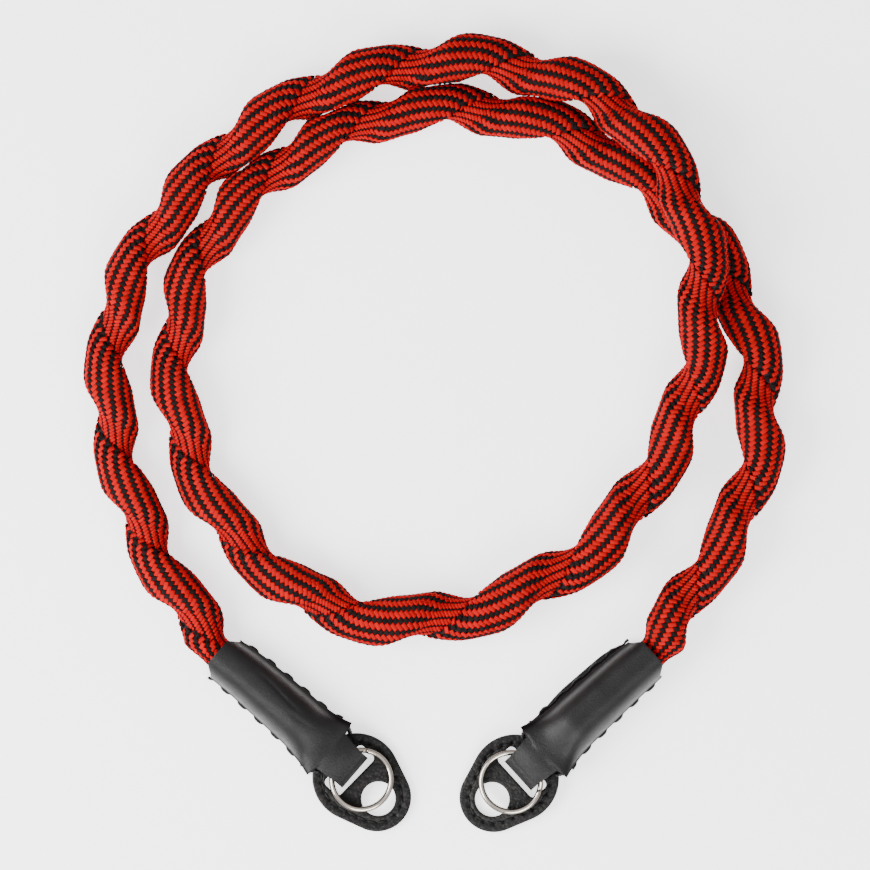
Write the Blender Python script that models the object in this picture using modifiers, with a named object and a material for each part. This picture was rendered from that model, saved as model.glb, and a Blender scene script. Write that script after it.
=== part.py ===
# Coiled camera strap
# A round braided cord lies in a double loop, and both its ends carry the same fitting: a folded leather
# sleeve, a split ring in the fold and a leather tab under the ring. The strap lies on the plane z = 0.
# Lengths are in metres, Z is up, and the origin is on that plane in the middle of the two fittings.
import math

import bpy
import numpy as np
from mathutils import Matrix, Vector

MM = 0.001
GAP = 0.3 * MM  # clearance between neighbouring pieces

# Cord
CORD_HALF_WIDTH = 5.95 * MM  # mean half width of the twisted cord
CORD_SWING = 1.70 * MM  # how far the crest stands out and the valley stands in
CORD_FLAT = 0.43 * MM  # flattening of crest and valley
CORD_LEAN = 0.22 * MM  # the crest rises gently and falls sharply
CORD_REST = 7.20 * MM  # height of the cord's middle where it lies on the table
CORD_END_RADIUS = 4.45 * MM  # where the sleeve grips it
CORD_NARROWING = 7.0 * MM  # length over which it narrows before a sleeve
CORD_GRIP = 28.0 * MM  # length inside a sleeve
CORD_PITCH = 29.2 * MM  # mean length of one turn of the corkscrew
CORD_SIDES = 12
ROWS_PER_TURN = 8
GRIP_KNOTS = (1.0, 0.6, 0.3, 0.0)  # shares of CORD_GRIP where the line inside a sleeve has its points
LINE_STEPS = 16  # steps of the smooth line between two points of the route
SECTION_POINTS = 181
PRESS_APART = 2  # turns of the corkscrew: stretches nearer to each other along the cord don't press
PRESS_GAP = 0.6 * MM  # left between two stretches that press

# Sleeve
LEATHER = 1.5 * MM
SLEEVE_EASE = 0.65 * MM  # between the gripped cord and the sleeve's wall
SLEEVE_LENGTH = 40.0 * MM  # mouth to shoulder
SHOULDER_WIDTH = 18.6 * MM
TONGUE_LENGTH = 9.5 * MM  # shoulder to the end of the fold
TONGUE_WIDTH = 12.2 * MM
FOLD_RADIUS = 2.5 * MM  # outer corner of the fold
MOUTH_CORNER = 3.0 * MM  # how far the mouth's corners are rounded back
BACK_SETBACK = 1.2 * MM  # the back strip starts this far inside the mouth
SLEEVE_COLUMNS = 11

# Split ring
RING_RADIUS = 8.0 * MM  # to the middle of the wire
RING_WIRE = 1.43 * MM
RING_TURN_GAP = 0.15 * MM  # between its two turns
RING_AHEAD = 2.2 * MM  # the ring's middle lies this far beyond the fold
RING_STEP_FROM = 122.0  # degrees: the wire crosses from the lower to the upper turn
RING_STEP_TO = 158.0
RING_DEGREES_PER_POINT = 12.0
FOLD_CLEARANCE = 0.6 * MM  # on each side of the fold, inside the ring's bore

# Ring tab
TAB_THICKNESS = 1.8 * MM
TAB_WIDE_RADIUS = 11.9 * MM
TAB_TIP_RADIUS = 9.3 * MM
TAB_STRETCH = 7.8 * MM  # middle of the wide round to middle of the tip round
TAB_HOLE_RADIUS = 4.65 * MM
TAB_HOLE_AHEAD = 0.6 * MM  # the hole's middle beyond the tip round's middle
SLOT_LENGTH = 5.8 * MM
SLOT_SIDE_CLEARANCE = 1.2 * MM  # beside the tongue
SLOT_END_CLEARANCE = 1.2 * MM  # beyond the fold
SLOT_CORNER = 1.2 * MM
TAB_BACK = 6.4 * MM  # the tab's near end behind the slot
ARC_STEP = 12.0  # degrees between points of a round outline

# Heights that follow from the pieces lying on each other
TAB_SEAT = LEATHER + GAP
CORD_END_HEIGHT = LEATHER + GAP + CORD_END_RADIUS
MOUTH_CROWN = CORD_END_HEIGHT + CORD_END_RADIUS + SLEEVE_EASE + LEATHER
MOUTH_HALF = CORD_END_RADIUS + SLEEVE_EASE + LEATHER

# Places along a fitting, from the mouth of its sleeve
FOLD_END = SLEEVE_LENGTH + TONGUE_LENGTH
RING_PLACE = FOLD_END + RING_AHEAD
SLOT_FAR = FOLD_END + SLOT_END_CLEARANCE
SLOT_NEAR = SLOT_FAR - SLOT_LENGTH
TAB_WIDE_PLACE = SLOT_NEAR - TAB_BACK + TAB_WIDE_RADIUS
TAB_TIP_PLACE = TAB_WIDE_PLACE + TAB_STRETCH
TAB_REACH = TAB_TIP_PLACE + TAB_TIP_RADIUS - SLOT_NEAR
TAB_TILT = math.asin(TAB_SEAT / TAB_REACH)

# The ring lies on the tab, and the tongue passes over the ring
RING_TOP = TAB_THICKNESS + GAP + 2 * RING_WIRE + RING_TURN_GAP
RING_NEAR = RING_PLACE - RING_RADIUS - RING_WIRE / 2
RING_LIFT = max(SLOT_NEAR - RING_NEAR, 0.0) * math.sin(TAB_TILT)
TONGUE_TOP = TAB_SEAT + RING_TOP + RING_LIFT + GAP + LEATHER

# Widest fold that passes through the ring's opening
RING_BORE = RING_RADIUS - RING_WIRE / 2 - GAP
FOLD_WALL = RING_AHEAD + LEATHER
FOLD_HALF = math.sqrt(max(RING_BORE ** 2 - FOLD_WALL ** 2, LEATHER ** 2)) - FOLD_CLEARANCE
SLOT_HALF = TONGUE_WIDTH / 2 + SLOT_SIDE_CLEARANCE

# Each fitting: where its sleeve's mouth is, the way it points, and how its pieces are shifted sideways
ENDS = [
    {"side": "left", "x": -58.8 * MM, "y": 22.4 * MM, "heading": -40.8, "front_shift": 0.5 * MM,
     "back_shift": 0.5 * MM, "ring_shift": -0.7 * MM, "fold_shift": -0.4 * MM, "tab_yaw": -3.5},
    {"side": "right", "x": 58.9 * MM, "y": 22.3 * MM, "heading": -137.6, "front_shift": -0.3 * MM,
     "back_shift": -1.9 * MM, "ring_shift": 0.0, "fold_shift": 0.0, "tab_yaw": 0.0},
]

# The cord's route on the table from the left mouth to the right one: x, y and lift in millimetres
ROUTE = [
    (-62.5, 28.5, 0), (-67, 35, 0), (-76, 49.5, 0), (-82.5, 66, 0), (-87, 82.5, 0), (-88, 98.5, 0),
    (-86, 114.5, 0), (-79.5, 130, 0), (-71, 142, 0), (-59.5, 155, 0), (-45, 166.5, 0), (-28, 175.5, 0),
    (-9, 180.5, 0), (9.5, 182.5, 0), (28, 179, 1), (44.5, 172.5, 4.5), (58, 161, 9), (67, 147, 11.7),
    (72, 131, 11.8), (72.5, 112, 9), (70.5, 96, 4.5), (64, 80, 1), (55, 64, 0), (42, 49.5, 0),
    (26, 39.5, 0), (7, 32.5, 0), (-12, 31, 0), (-31.5, 36, 0), (-47.5, 47.5, 0), (-59, 61, 0),
    (-66.5, 77.5, 0), (-70, 93, 0), (-69, 112, 0), (-63.5, 129.5, 0), (-54, 143, 0), (-38, 156.5, 0),
    (-20, 165.5, 0), (-1.5, 169.5, 0), (17.5, 168.5, 0), (34, 164, 0), (50, 155.5, 0), (63, 145, 0),
    (74, 133.5, 0), (81, 119.5, 0), (86.5, 104, 0), (88, 88, 0), (86.5, 71.5, 0), (80, 55, 0),
    (70.5, 40.5, 0), (65, 31.5, 0),
]

# The corkscrew: share of the route between the mouths, and turns of the valley made by there
TWIST = [
    (0.033, 0), (0.129, 3), (0.226, 6), (0.325, 9), (0.426, 12), (0.537, 15), (0.638, 18), (0.733, 21),
    (0.834, 24), (0.932, 27), (0.968, 28),
]

# Front of the sleeve, from the mouth to the shoulder:
# along, share of SLEEVE_LENGTH; spread, share of the widening from the mouth to the shoulder;
# sink, share of the drop from the mouth's crown to the tongue; lift, share of the edge's rise to the tongue;
# square, exponent of the arch
SLEEVE_FRONT = [
    {"along": 0.00, "spread": 0.00, "sink": 0.00, "lift": 0.00, "square": 2.6},
    {"along": 0.05, "spread": 0.01, "sink": 0.00, "lift": 0.00, "square": 2.6},
    {"along": 0.12, "spread": 0.05, "sink": 0.00, "lift": 0.00, "square": 2.6},
    {"along": 0.25, "spread": 0.12, "sink": 0.00, "lift": 0.00, "square": 2.5},
    {"along": 0.40, "spread": 0.19, "sink": 0.00, "lift": 0.00, "square": 2.5},
    {"along": 0.55, "spread": 0.26, "sink": 0.00, "lift": 0.00, "square": 2.4},
    {"along": 0.73, "spread": 0.32, "sink": 0.00, "lift": 0.00, "square": 2.4},
    {"along": 0.80, "spread": 0.36, "sink": 0.22, "lift": 0.08, "square": 2.3},
    {"along": 0.86, "spread": 0.50, "sink": 0.58, "lift": 0.40, "square": 2.2},
    {"along": 0.93, "spread": 0.66, "sink": 0.90, "lift": 0.85, "square": 2.0},
    {"along": 1.00, "spread": 1.00, "sink": 1.00, "lift": 1.00, "square": 2.0},
]
SHOULDER_CUT = 0.7 * MM  # length of the notch from the shoulder's width to the tongue's
CORNER_REACH = 0.12  # share of the sleeve that the mouth's rounded corners affect
CORNER_START = 0.55  # share of the half width where they begin
MOUTH_SWING = 0.30  # share of the sleeve over which its layers swing sideways from the mouth
BACK_RELEASE = 0.6  # share of the sleeve where both layers start to swing to the fold

COLOURS = {
    "braid": ((0.55, 0.035, 0.03), 0.75, 0.0),
    "leather": ((0.012, 0.011, 0.011), 0.55, 0.0),
    "ring": ((0.62, 0.61, 0.60), 0.22, 1.0),
}


def clear_scene():
    for thing in list(bpy.data.objects):
        bpy.data.objects.remove(thing, do_unlink=True)


def make_material(name):
    colour, roughness, metallic = COLOURS[name]
    material = bpy.data.materials.new(name)
    material.use_nodes = True
    shader = material.node_tree.nodes["Principled BSDF"]
    shader.inputs["Base Color"].default_value = (*colour, 1.0)
    shader.inputs["Roughness"].default_value = roughness
    shader.inputs["Metallic"].default_value = metallic
    return material


def add_object(collection, name, data, material, parent=None):
    data.materials.append(material)
    thing = bpy.data.objects.new(name, data)
    thing.parent = parent
    collection.objects.link(thing)
    return thing


def mix(a, b, share):
    return a + (b - a) * share


def smooth(share):
    share = min(max(share, 0.0), 1.0)
    return share * share * (3 - 2 * share)


def grid_faces(rows, columns, closed):
    """Quads between neighbouring rows of points, closed round the columns or open."""
    spans = columns if closed else columns - 1
    faces = []
    for r in range(rows - 1):
        for c in range(spans):
            nxt = (c + 1) % columns
            faces.append((r * columns + c, (r + 1) * columns + c, (r + 1) * columns + nxt, r * columns + nxt))
    return faces


def end_frame(end):
    """The matrix of a fitting: X along the sleeve towards the ring, Y to its left, Z up."""
    turn = Matrix.Rotation(math.radians(end["heading"]), 4, "Z")
    return Matrix.Translation((end["x"], end["y"], 0.0)) @ turn


def sideways(end, layer, along):
    """How far a layer of the sleeve lies beside the fitting's middle line; the cord follows the front."""
    swing = smooth(along / MOUTH_SWING) * (1 - smooth((along - BACK_RELEASE) / (1 - BACK_RELEASE)))
    return end[layer] * swing


def cord_knots():
    """The points of the cord's middle, from inside the left sleeve to inside the right one."""
    inside = [CORD_GRIP * share for share in GRIP_KNOTS]
    left, right = [[end_frame(end) @ Vector((u, sideways(end, "front_shift", u / SLEEVE_LENGTH),
                                             CORD_END_HEIGHT)) for u in inside] for end in ENDS]
    table = [Vector((x * MM, y * MM, CORD_REST + lift * MM)) for x, y, lift in ROUTE]
    return np.array(left + table + right[::-1]), len(inside) - 1


def smooth_line(knots):
    """A Catmull-Rom curve through the knots."""
    padded = np.vstack([2 * knots[0] - knots[1], knots, 2 * knots[-1] - knots[-2]])
    t = (np.arange(LINE_STEPS) / LINE_STEPS)[:, None]
    pieces = [0.5 * (2 * p1 + (p2 - p0) * t + (2 * p0 - 5 * p1 + 4 * p2 - p3) * t ** 2
                     + (3 * p1 - p0 - 3 * p2 + p3) * t ** 3)
              for p0, p1, p2, p3 in zip(padded, padded[1:], padded[2:], padded[3:])]
    return np.vstack(pieces + [knots[-1:]])


def along_line(line):
    return np.concatenate([[0.0], np.cumsum(np.linalg.norm(np.diff(line, axis=0), axis=1))])


def valley_angle(at):
    """Angle of the valley at shares of the route, from the cord's right side over the top."""
    shares, turns = np.array(TWIST, float).T
    rate = turns[-1] / (shares[-1] - shares[0])
    beyond = np.minimum(at - shares[0], 0) + np.maximum(at - shares[-1], 0)
    return 2 * math.pi * (np.interp(at, shares, turns) + beyond * rate)


def free_section():
    """Angles from the crest and radii of the free cord, from its half width in each direction."""
    facing = np.linspace(-math.pi, math.pi, SECTION_POINTS)
    half = (CORD_HALF_WIDTH + CORD_SWING * np.cos(facing) - CORD_FLAT * np.cos(2 * facing)
            + CORD_LEAN * np.sin(2 * facing))
    slope = (2 * CORD_FLAT * np.sin(2 * facing) + 2 * CORD_LEAN * np.cos(2 * facing)
             - CORD_SWING * np.sin(facing))
    x = half * np.cos(facing) - slope * np.sin(facing)
    y = half * np.sin(facing) + slope * np.cos(facing)
    return np.unwrap(np.arctan2(y, x)), np.hypot(x, y)


def cord_radius(angle, valley, grip):
    """Distance from the middle to the surface; grip is 1 where the cord is free and 0 in a sleeve."""
    angles, radii = free_section()
    free = np.interp(angle - valley - math.pi, angles, radii, period=2 * math.pi)
    return CORD_END_RADIUS + (free - CORD_END_RADIUS) * grip


def cord_rows():
    """Middles, directions, valley angles and grips of the cord's sections."""
    knots, inner = cord_knots()
    line = smooth_line(knots)
    travelled = along_line(line)
    start, stop = travelled[inner * LINE_STEPS], travelled[-1 - inner * LINE_STEPS]
    count = round(travelled[-1] / CORD_PITCH * ROWS_PER_TURN) + 1
    s = np.linspace(0, travelled[-1], count)
    middle = np.column_stack([np.interp(s, travelled, line[:, axis]) for axis in range(3)])
    along = np.gradient(middle, axis=0)
    along /= np.linalg.norm(along, axis=1)[:, None]
    right = np.cross(along, (0, 0, 1))
    right /= np.linalg.norm(right, axis=1)[:, None]
    up = np.cross(right, along)
    free = np.clip(np.minimum(s - start, stop - s) / CORD_NARROWING, 0, 1)
    grip = free ** 2 * (3 - 2 * free)
    return {"s": s, "middle": middle, "along": along, "right": right, "up": up, "grip": grip,
            "start": start, "free": stop - start, "valley": valley_angle((s - start) / (stop - start))}


def press(points, s, rows):
    """Moves points that lie inside another stretch of the cord halfway out, so both press flat."""
    away = points[:, None] - rows["middle"][None]
    distance = np.linalg.norm(away, axis=2)
    distance[np.abs(s[:, None] - rows["s"][None]) < PRESS_APART * CORD_PITCH] = np.inf
    nearest = distance.argmin(axis=1)
    across = away[np.arange(len(points)), nearest]
    ahead = (across * rows["along"][nearest]).sum(axis=1)
    across -= ahead[:, None] * rows["along"][nearest]
    depth = np.linalg.norm(across, axis=1)
    rise = (across * rows["up"][nearest]).sum(axis=1)
    aside = (across * rows["right"][nearest]).sum(axis=1)
    angle = np.arctan2(rise, aside)
    at = (rows["s"][nearest] + ahead - rows["start"]) / rows["free"]
    inside = cord_radius(angle, valley_angle(at), rows["grip"][nearest]) + PRESS_GAP - depth
    return points + across / depth[:, None] * np.maximum(inside, 0)[:, None] / 2


def make_cord(collection, material):
    """A loft of unlike sections: the valley turns round the cord to the left as it goes along."""
    rows = cord_rows()
    angle = 2 * math.pi * np.arange(CORD_SIDES)[None] / CORD_SIDES
    reach = cord_radius(angle, rows["valley"][:, None], rows["grip"][:, None])
    points = (rows["middle"][:, None] + rows["right"][:, None] * (reach * np.cos(angle))[..., None]
              + rows["up"][:, None] * (reach * np.sin(angle))[..., None])
    points = press(points.reshape(-1, 3), np.repeat(rows["s"], CORD_SIDES), rows)
    points[:, 2] = np.maximum(points[:, 2], 0)
    count = len(rows["s"])
    faces = grid_faces(count, CORD_SIDES, closed=True)
    faces.append(tuple(range(CORD_SIDES)))
    faces.append(tuple((count - 1) * CORD_SIDES + side for side in reversed(range(CORD_SIDES))))
    mesh = bpy.data.meshes.new("cord")
    mesh.from_pydata(points.tolist(), [], faces)
    mesh.shade_smooth()
    return add_object(collection, "cord", mesh, material)


def corner(side, along):
    """How far the rounded corners of the mouth set a point back; side runs from -1 to 1 across."""
    share = (abs(side) - CORNER_START) / (1 - CORNER_START)
    return MOUTH_CORNER * smooth(share) * max(1 - along / CORNER_REACH, 0.0)


def front_row(end, place):
    """One section across the sleeve's front, from its right edge over the crown to its left edge."""
    half = mix(MOUTH_HALF, SHOULDER_WIDTH / 2, place["spread"])
    crown = mix(MOUTH_CROWN, TONGUE_TOP, place["sink"])
    edge = mix(TAB_SEAT, TONGUE_TOP, place["lift"])
    power = 2 / place["square"]
    shift = sideways(end, "front_shift", place["along"])
    row = []
    for column in range(SLEEVE_COLUMNS):
        angle = math.pi * (column / (SLEEVE_COLUMNS - 1) - 0.5)
        side = math.copysign(abs(math.sin(angle)) ** power, angle)
        height = max(math.cos(angle), 0.0) ** power
        u = place["along"] * SLEEVE_LENGTH + corner(side, place["along"])
        row.append(Vector((u, half * side + shift, mix(edge, crown, height))))
    return row


def flat_row(u, half, shift, z):
    step = 2 / (SLEEVE_COLUMNS - 1)
    return [Vector((u, half * (column * step - 1) + shift, z)) for column in range(SLEEVE_COLUMNS)]


def sleeve_rows(end):
    """The outer skin of the folded strip: front from the mouth, round the fold, and back underneath."""
    fold = end["fold_shift"]
    rows = [front_row(end, place) for place in SLEEVE_FRONT]
    tongue_start = SLEEVE_LENGTH + SHOULDER_CUT
    corner_start = FOLD_END - FOLD_RADIUS
    middle = (tongue_start + corner_start) / 2
    middle_half = (TONGUE_WIDTH / 2 + FOLD_HALF) / 2
    rows.append(flat_row(tongue_start, TONGUE_WIDTH / 2, fold / 2, TONGUE_TOP))
    rows.append(flat_row(middle, middle_half, fold, TONGUE_TOP))
    for middle_z, first in ((TONGUE_TOP - FOLD_RADIUS, 90), (FOLD_RADIUS, 0)):
        for degrees in (0, 30, 60, 90):
            angle = math.radians(first - degrees)
            rows.append(flat_row(corner_start + FOLD_RADIUS * math.cos(angle), FOLD_HALF, fold,
                                 middle_z + FOLD_RADIUS * math.sin(angle)))
    rows.append(flat_row(middle, middle_half, fold, 0.0))
    rows.append(flat_row(tongue_start, TONGUE_WIDTH / 2, fold / 2, 0.0))
    for place in reversed(SLEEVE_FRONT):
        along = place["along"]
        half = mix(MOUTH_HALF, SHOULDER_WIDTH / 2, place["spread"])
        start = along * SLEEVE_LENGTH + BACK_SETBACK * max(1 - along / CORNER_REACH, 0)
        row = flat_row(start, half, sideways(end, "back_shift", along), 0.0)
        for column, point in enumerate(row):
            point.x += corner(2 * column / (SLEEVE_COLUMNS - 1) - 1, along)
        rows.append(row)
    return rows


def make_sleeve(collection, end, frame, material):
    rows = sleeve_rows(end)
    mesh = bpy.data.meshes.new(end["side"] + "_sleeve")
    points = [point for row in rows for point in row]
    mesh.from_pydata(points, [], grid_faces(len(rows), SLEEVE_COLUMNS, closed=False))
    sleeve = add_object(collection, mesh.name, mesh, material, frame)
    wall = sleeve.modifiers.new("leather wall", "SOLIDIFY")
    wall.thickness = LEATHER
    wall.offset = -1.0
    return sleeve


def make_ring(collection, end, frame, material):
    """A split ring: one flat turn, a short step up, and a second turn that ends over the step's start."""
    curve = bpy.data.curves.new(end["side"] + "_ring", "CURVE")
    curve.dimensions = "3D"
    curve.bevel_depth = RING_WIRE / 2
    curve.bevel_resolution = 2
    curve.use_fill_caps = True
    sweep = 720.0 - (RING_STEP_TO - RING_STEP_FROM)
    count = round(sweep / RING_DEGREES_PER_POINT) + 1
    wire = curve.splines.new("POLY")
    wire.points.add(count - 1)
    for k, point in enumerate(wire.points):
        degrees = RING_STEP_TO + sweep * k / (count - 1)
        step = smooth((degrees - 360 - RING_STEP_FROM) / (RING_STEP_TO - RING_STEP_FROM))
        angle = math.radians(degrees)
        point.co = (RING_RADIUS * math.cos(angle), RING_RADIUS * math.sin(angle),
                    step * (RING_WIRE + RING_TURN_GAP), 1.0)
    ring = add_object(collection, curve.name, curve, material, frame)
    ring.location = (RING_PLACE - SLOT_NEAR, end["ring_shift"], TAB_THICKNESS + GAP + RING_WIRE / 2)
    return ring


def arc(u, v, radius, first, last):
    """Points of a round stretch of an outline, angles in degrees."""
    count = max(round(abs(last - first) / ARC_STEP), 1)
    angles = [math.radians(mix(first, last, k / count)) for k in range(count + 1)]
    return [(u + radius * math.cos(a), v + radius * math.sin(a)) for a in angles]


def add_outline(curve, points):
    outline = curve.splines.new("POLY")
    outline.points.add(len(points) - 1)
    outline.use_cyclic_u = True
    for point, (u, v) in zip(outline.points, points):
        point.co = (u, v, 0.0, 1.0)


def make_tab(collection, end, frame, material):
    """Two rounds joined by straight flanks, cut by the sleeve's slot and the eyelet hole."""
    curve = bpy.data.curves.new(end["side"] + "_tab", "CURVE")
    curve.dimensions = "2D"
    curve.fill_mode = "BOTH"
    curve.extrude = TAB_THICKNESS / 2
    wide = TAB_WIDE_PLACE - SLOT_NEAR
    tip = TAB_TIP_PLACE - SLOT_NEAR
    flank = math.degrees(math.acos((TAB_WIDE_RADIUS - TAB_TIP_RADIUS) / TAB_STRETCH))
    add_outline(curve, arc(tip, 0, TAB_TIP_RADIUS, -flank, flank)
                + arc(wide, 0, TAB_WIDE_RADIUS, flank, 360 - flank))
    hole = arc(tip + TAB_HOLE_AHEAD, 0, TAB_HOLE_RADIUS, 0, 360)
    add_outline(curve, hole[:-1])
    slot = []
    for u, v, first in ((SLOT_LENGTH - SLOT_CORNER, SLOT_HALF - SLOT_CORNER, 0),
                        (SLOT_CORNER, SLOT_HALF - SLOT_CORNER, 90),
                        (SLOT_CORNER, SLOT_CORNER - SLOT_HALF, 180),
                        (SLOT_LENGTH - SLOT_CORNER, SLOT_CORNER - SLOT_HALF, 270)):
        slot += arc(u, v, SLOT_CORNER, first, first + 90)
    add_outline(curve, slot)
    tab = add_object(collection, curve.name, curve, material, frame)
    tab.location = (0.0, end["ring_shift"], TAB_THICKNESS / 2)
    tab.rotation_euler = (0.0, 0.0, math.radians(end["tab_yaw"]))
    return tab


def add_frame(collection, name, location, rotation, parent=None):
    frame = bpy.data.objects.new(name, None)
    frame.location = location
    frame.rotation_euler = rotation
    frame.parent = parent
    collection.objects.link(frame)
    return frame


def make_fitting(collection, end, leather, steel):
    heading = math.radians(end["heading"])
    fitting = add_frame(collection, end["side"] + "_fitting", (end["x"], end["y"], 0), (0, 0, heading))
    tilted = add_frame(collection, end["side"] + "_tilt", (SLOT_NEAR, 0, TAB_SEAT), (0, TAB_TILT, 0), fitting)
    make_sleeve(collection, end, fitting, leather)
    make_ring(collection, end, tilted, steel)
    make_tab(collection, end, tilted, leather)


def main():
    clear_scene()
    strap = bpy.data.collections.new("camera_strap")
    bpy.context.scene.collection.children.link(strap)
    braid, leather, steel = [make_material(name) for name in ("braid", "leather", "ring")]
    make_cord(strap, braid)
    for end in ENDS:
        make_fitting(strap, end, leather, steel)
    bpy.context.view_layer.update()


main()
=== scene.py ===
# %% [markdown]
# # A coiled camera strap
# The object is a camera strap: a round braided cord in red and black that lies in a loose double loop.
# Its ends are gripped by folded leather sleeves, and each sleeve holds a split ring over a leather tab.
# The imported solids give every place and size. This script dresses them: it braids the cord, cuts and
# stitches the leather, bends the rings, and then lights and films the strap from straight above.

# %% Load the frame
import math

import bpy
import numpy as np
from mathutils import Matrix, Vector
from mathutils.geometry import delaunay_2d_cdt
from mathutils.noise import fractal


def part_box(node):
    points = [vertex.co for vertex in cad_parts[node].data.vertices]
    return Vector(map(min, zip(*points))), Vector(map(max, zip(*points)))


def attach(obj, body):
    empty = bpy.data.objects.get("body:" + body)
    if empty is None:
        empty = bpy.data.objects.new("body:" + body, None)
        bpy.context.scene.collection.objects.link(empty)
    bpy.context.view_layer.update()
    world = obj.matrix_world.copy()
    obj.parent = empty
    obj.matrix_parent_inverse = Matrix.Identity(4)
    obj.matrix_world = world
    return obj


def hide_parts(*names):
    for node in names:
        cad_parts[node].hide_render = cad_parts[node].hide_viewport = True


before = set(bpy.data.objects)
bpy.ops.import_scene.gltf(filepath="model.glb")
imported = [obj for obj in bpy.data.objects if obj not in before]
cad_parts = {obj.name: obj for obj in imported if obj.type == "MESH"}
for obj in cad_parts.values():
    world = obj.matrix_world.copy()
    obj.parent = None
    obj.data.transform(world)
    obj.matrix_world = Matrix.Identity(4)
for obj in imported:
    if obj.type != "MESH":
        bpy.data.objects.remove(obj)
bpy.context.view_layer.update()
MM = 0.001
print("CAD nodes:", ", ".join(sorted(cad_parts)))

# %% [markdown]
# ## Camera
# The photograph looks straight down and shows no vanishing lines, so the camera is orthographic. A long
# lens from far away would look almost the same, but this way one scale, 3.7 pixels to a millimetre,
# turns the picture's 870 pixels into the width that it sees.

# %% Camera
PIXELS_PER_MM = 3.7
PICTURE = 870  # pixels, both ways
ORIGIN_PIXEL = (435.0, 735.0)  # the frame's origin in the photograph
CAMERA_HEIGHT = 0.8  # metres
VIEW_WIDTH = PICTURE / PIXELS_PER_MM * MM
VIEW_CENTRE = ((PICTURE / 2 - ORIGIN_PIXEL[0]) / PIXELS_PER_MM * MM,
               (ORIGIN_PIXEL[1] - PICTURE / 2) / PIXELS_PER_MM * MM)


def add_object(name, data):
    thing = bpy.data.objects.new(name, data)
    bpy.context.scene.collection.objects.link(thing)
    return thing


camera_data = bpy.data.cameras.new("camera")
camera_data.type = "ORTHO"
camera_data.ortho_scale = VIEW_WIDTH
camera = add_object("camera", camera_data)
camera.location = (*VIEW_CENTRE, CAMERA_HEIGHT)
bpy.context.scene.camera = camera
print(f"the camera sees {VIEW_WIDTH / MM:.1f} mm")

# %% [markdown]
# ## Floor and soft boxes
# The strap lies on a sheet of opal acrylic that is lit from below, like a light table. A white card would
# do too, but its shadows would fill the gaps beside the cord with grey, and they are bright in the
# photograph. A soft box stands on the left, and a weaker one on the viewer's side draws the sheen along
# both sleeves.

# %% Floor and soft boxes
FLOOR_HALF = 1.5  # metres from its middle to each side
FLOOR_DROP = 0.1 * MM  # under the strap, so that the two don't share a plane
FLOOR_GLOW = 1.6


def add_light(name, place, size, watts):
    """A square soft box that looks at the middle of the picture."""
    data = bpy.data.lights.new(name, "AREA")
    data.size = size
    data.energy = watts
    light = add_object(name, data)
    light.location = place
    aim = Vector((*VIEW_CENTRE, 0)) - Vector(place)
    light.rotation_euler = aim.to_track_quat("-Z", "Y").to_euler()


floor_data = bpy.data.meshes.new("floor")
floor_corners = [(x * FLOOR_HALF, y * FLOOR_HALF, 0) for x, y in ((-1, -1), (1, -1), (1, 1), (-1, 1))]
floor_data.from_pydata(floor_corners, [], [(0, 1, 2, 3)])
floor = add_object("floor", floor_data)
floor.location = (0, 0, -FLOOR_DROP)
floor_material = bpy.data.materials.new("opal_acrylic_light_table")
floor_material.use_nodes = True
floor_shader = floor_material.node_tree.nodes["Principled BSDF"]
floor_shader.inputs["Base Color"].default_value = (0.9, 0.9, 0.9, 1)
floor_shader.inputs["Roughness"].default_value = 0.9
floor_shader.inputs["Emission Color"].default_value = (1, 1, 1, 1)
floor_shader.inputs["Emission Strength"].default_value = FLOOR_GLOW
floor_data.materials.append(floor_material)

add_light("soft box", (-0.62, -0.08, 0.55), 0.6, 17.0)
add_light("sheen light", (0.12, -0.62, 0.60), 0.5, 9.0)
print("floor:", 2 * FLOOR_HALF, "m wide; lights:", len(bpy.data.lights))

# %% [markdown]
# ## Materials: colours and nodes
# Blender's shaders work with linear light, and colours are picked from a picture as sRGB hex values, so
# one function turns hex to linear. A second one adds a node with its settings and links, which keeps
# each material short enough to read as a recipe.

# %% Colours and nodes


def linear(hex_colour):
    """An sRGB hex colour as linear red, green, blue and alpha."""
    parts = [int(hex_colour[i:i + 2], 16) / 255 for i in (1, 3, 5)]
    return (*[c / 12.92 if c <= 0.04045 else ((c + 0.055) / 1.055) ** 2.4 for c in parts], 1.0)


def add_node(tree, kind, inputs=None, **settings):
    """Adds a node, sets its properties, and links or sets its inputs."""
    new = tree.nodes.new("ShaderNode" + kind)
    for name, value in settings.items():
        setattr(new, name, value)
    for name, value in (inputs or {}).items():
        if isinstance(value, bpy.types.NodeSocket):
            tree.links.new(value, new.inputs[name])
        else:
            new.inputs[name].default_value = value
    return new


def new_material(name):
    material = bpy.data.materials.new(name)
    material.use_nodes = True
    tree = material.node_tree
    return material, tree, tree.nodes["Principled BSDF"]


print("mid grey in linear light:", round(linear("#808080")[0], 3))

# %% [markdown]
# ## Light tent
# Small shiny goods are photographed in a tent of white cloth. This one is the world's background, bright
# overhead and darker near the floor, so round things keep a dark edge. More soft boxes would light the
# strap as evenly, but each would show in the rings.

# %% Light tent
TENT_LOW, TENT_HIGH = 0.45, 1.05  # brightness at the horizon and overhead

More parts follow.
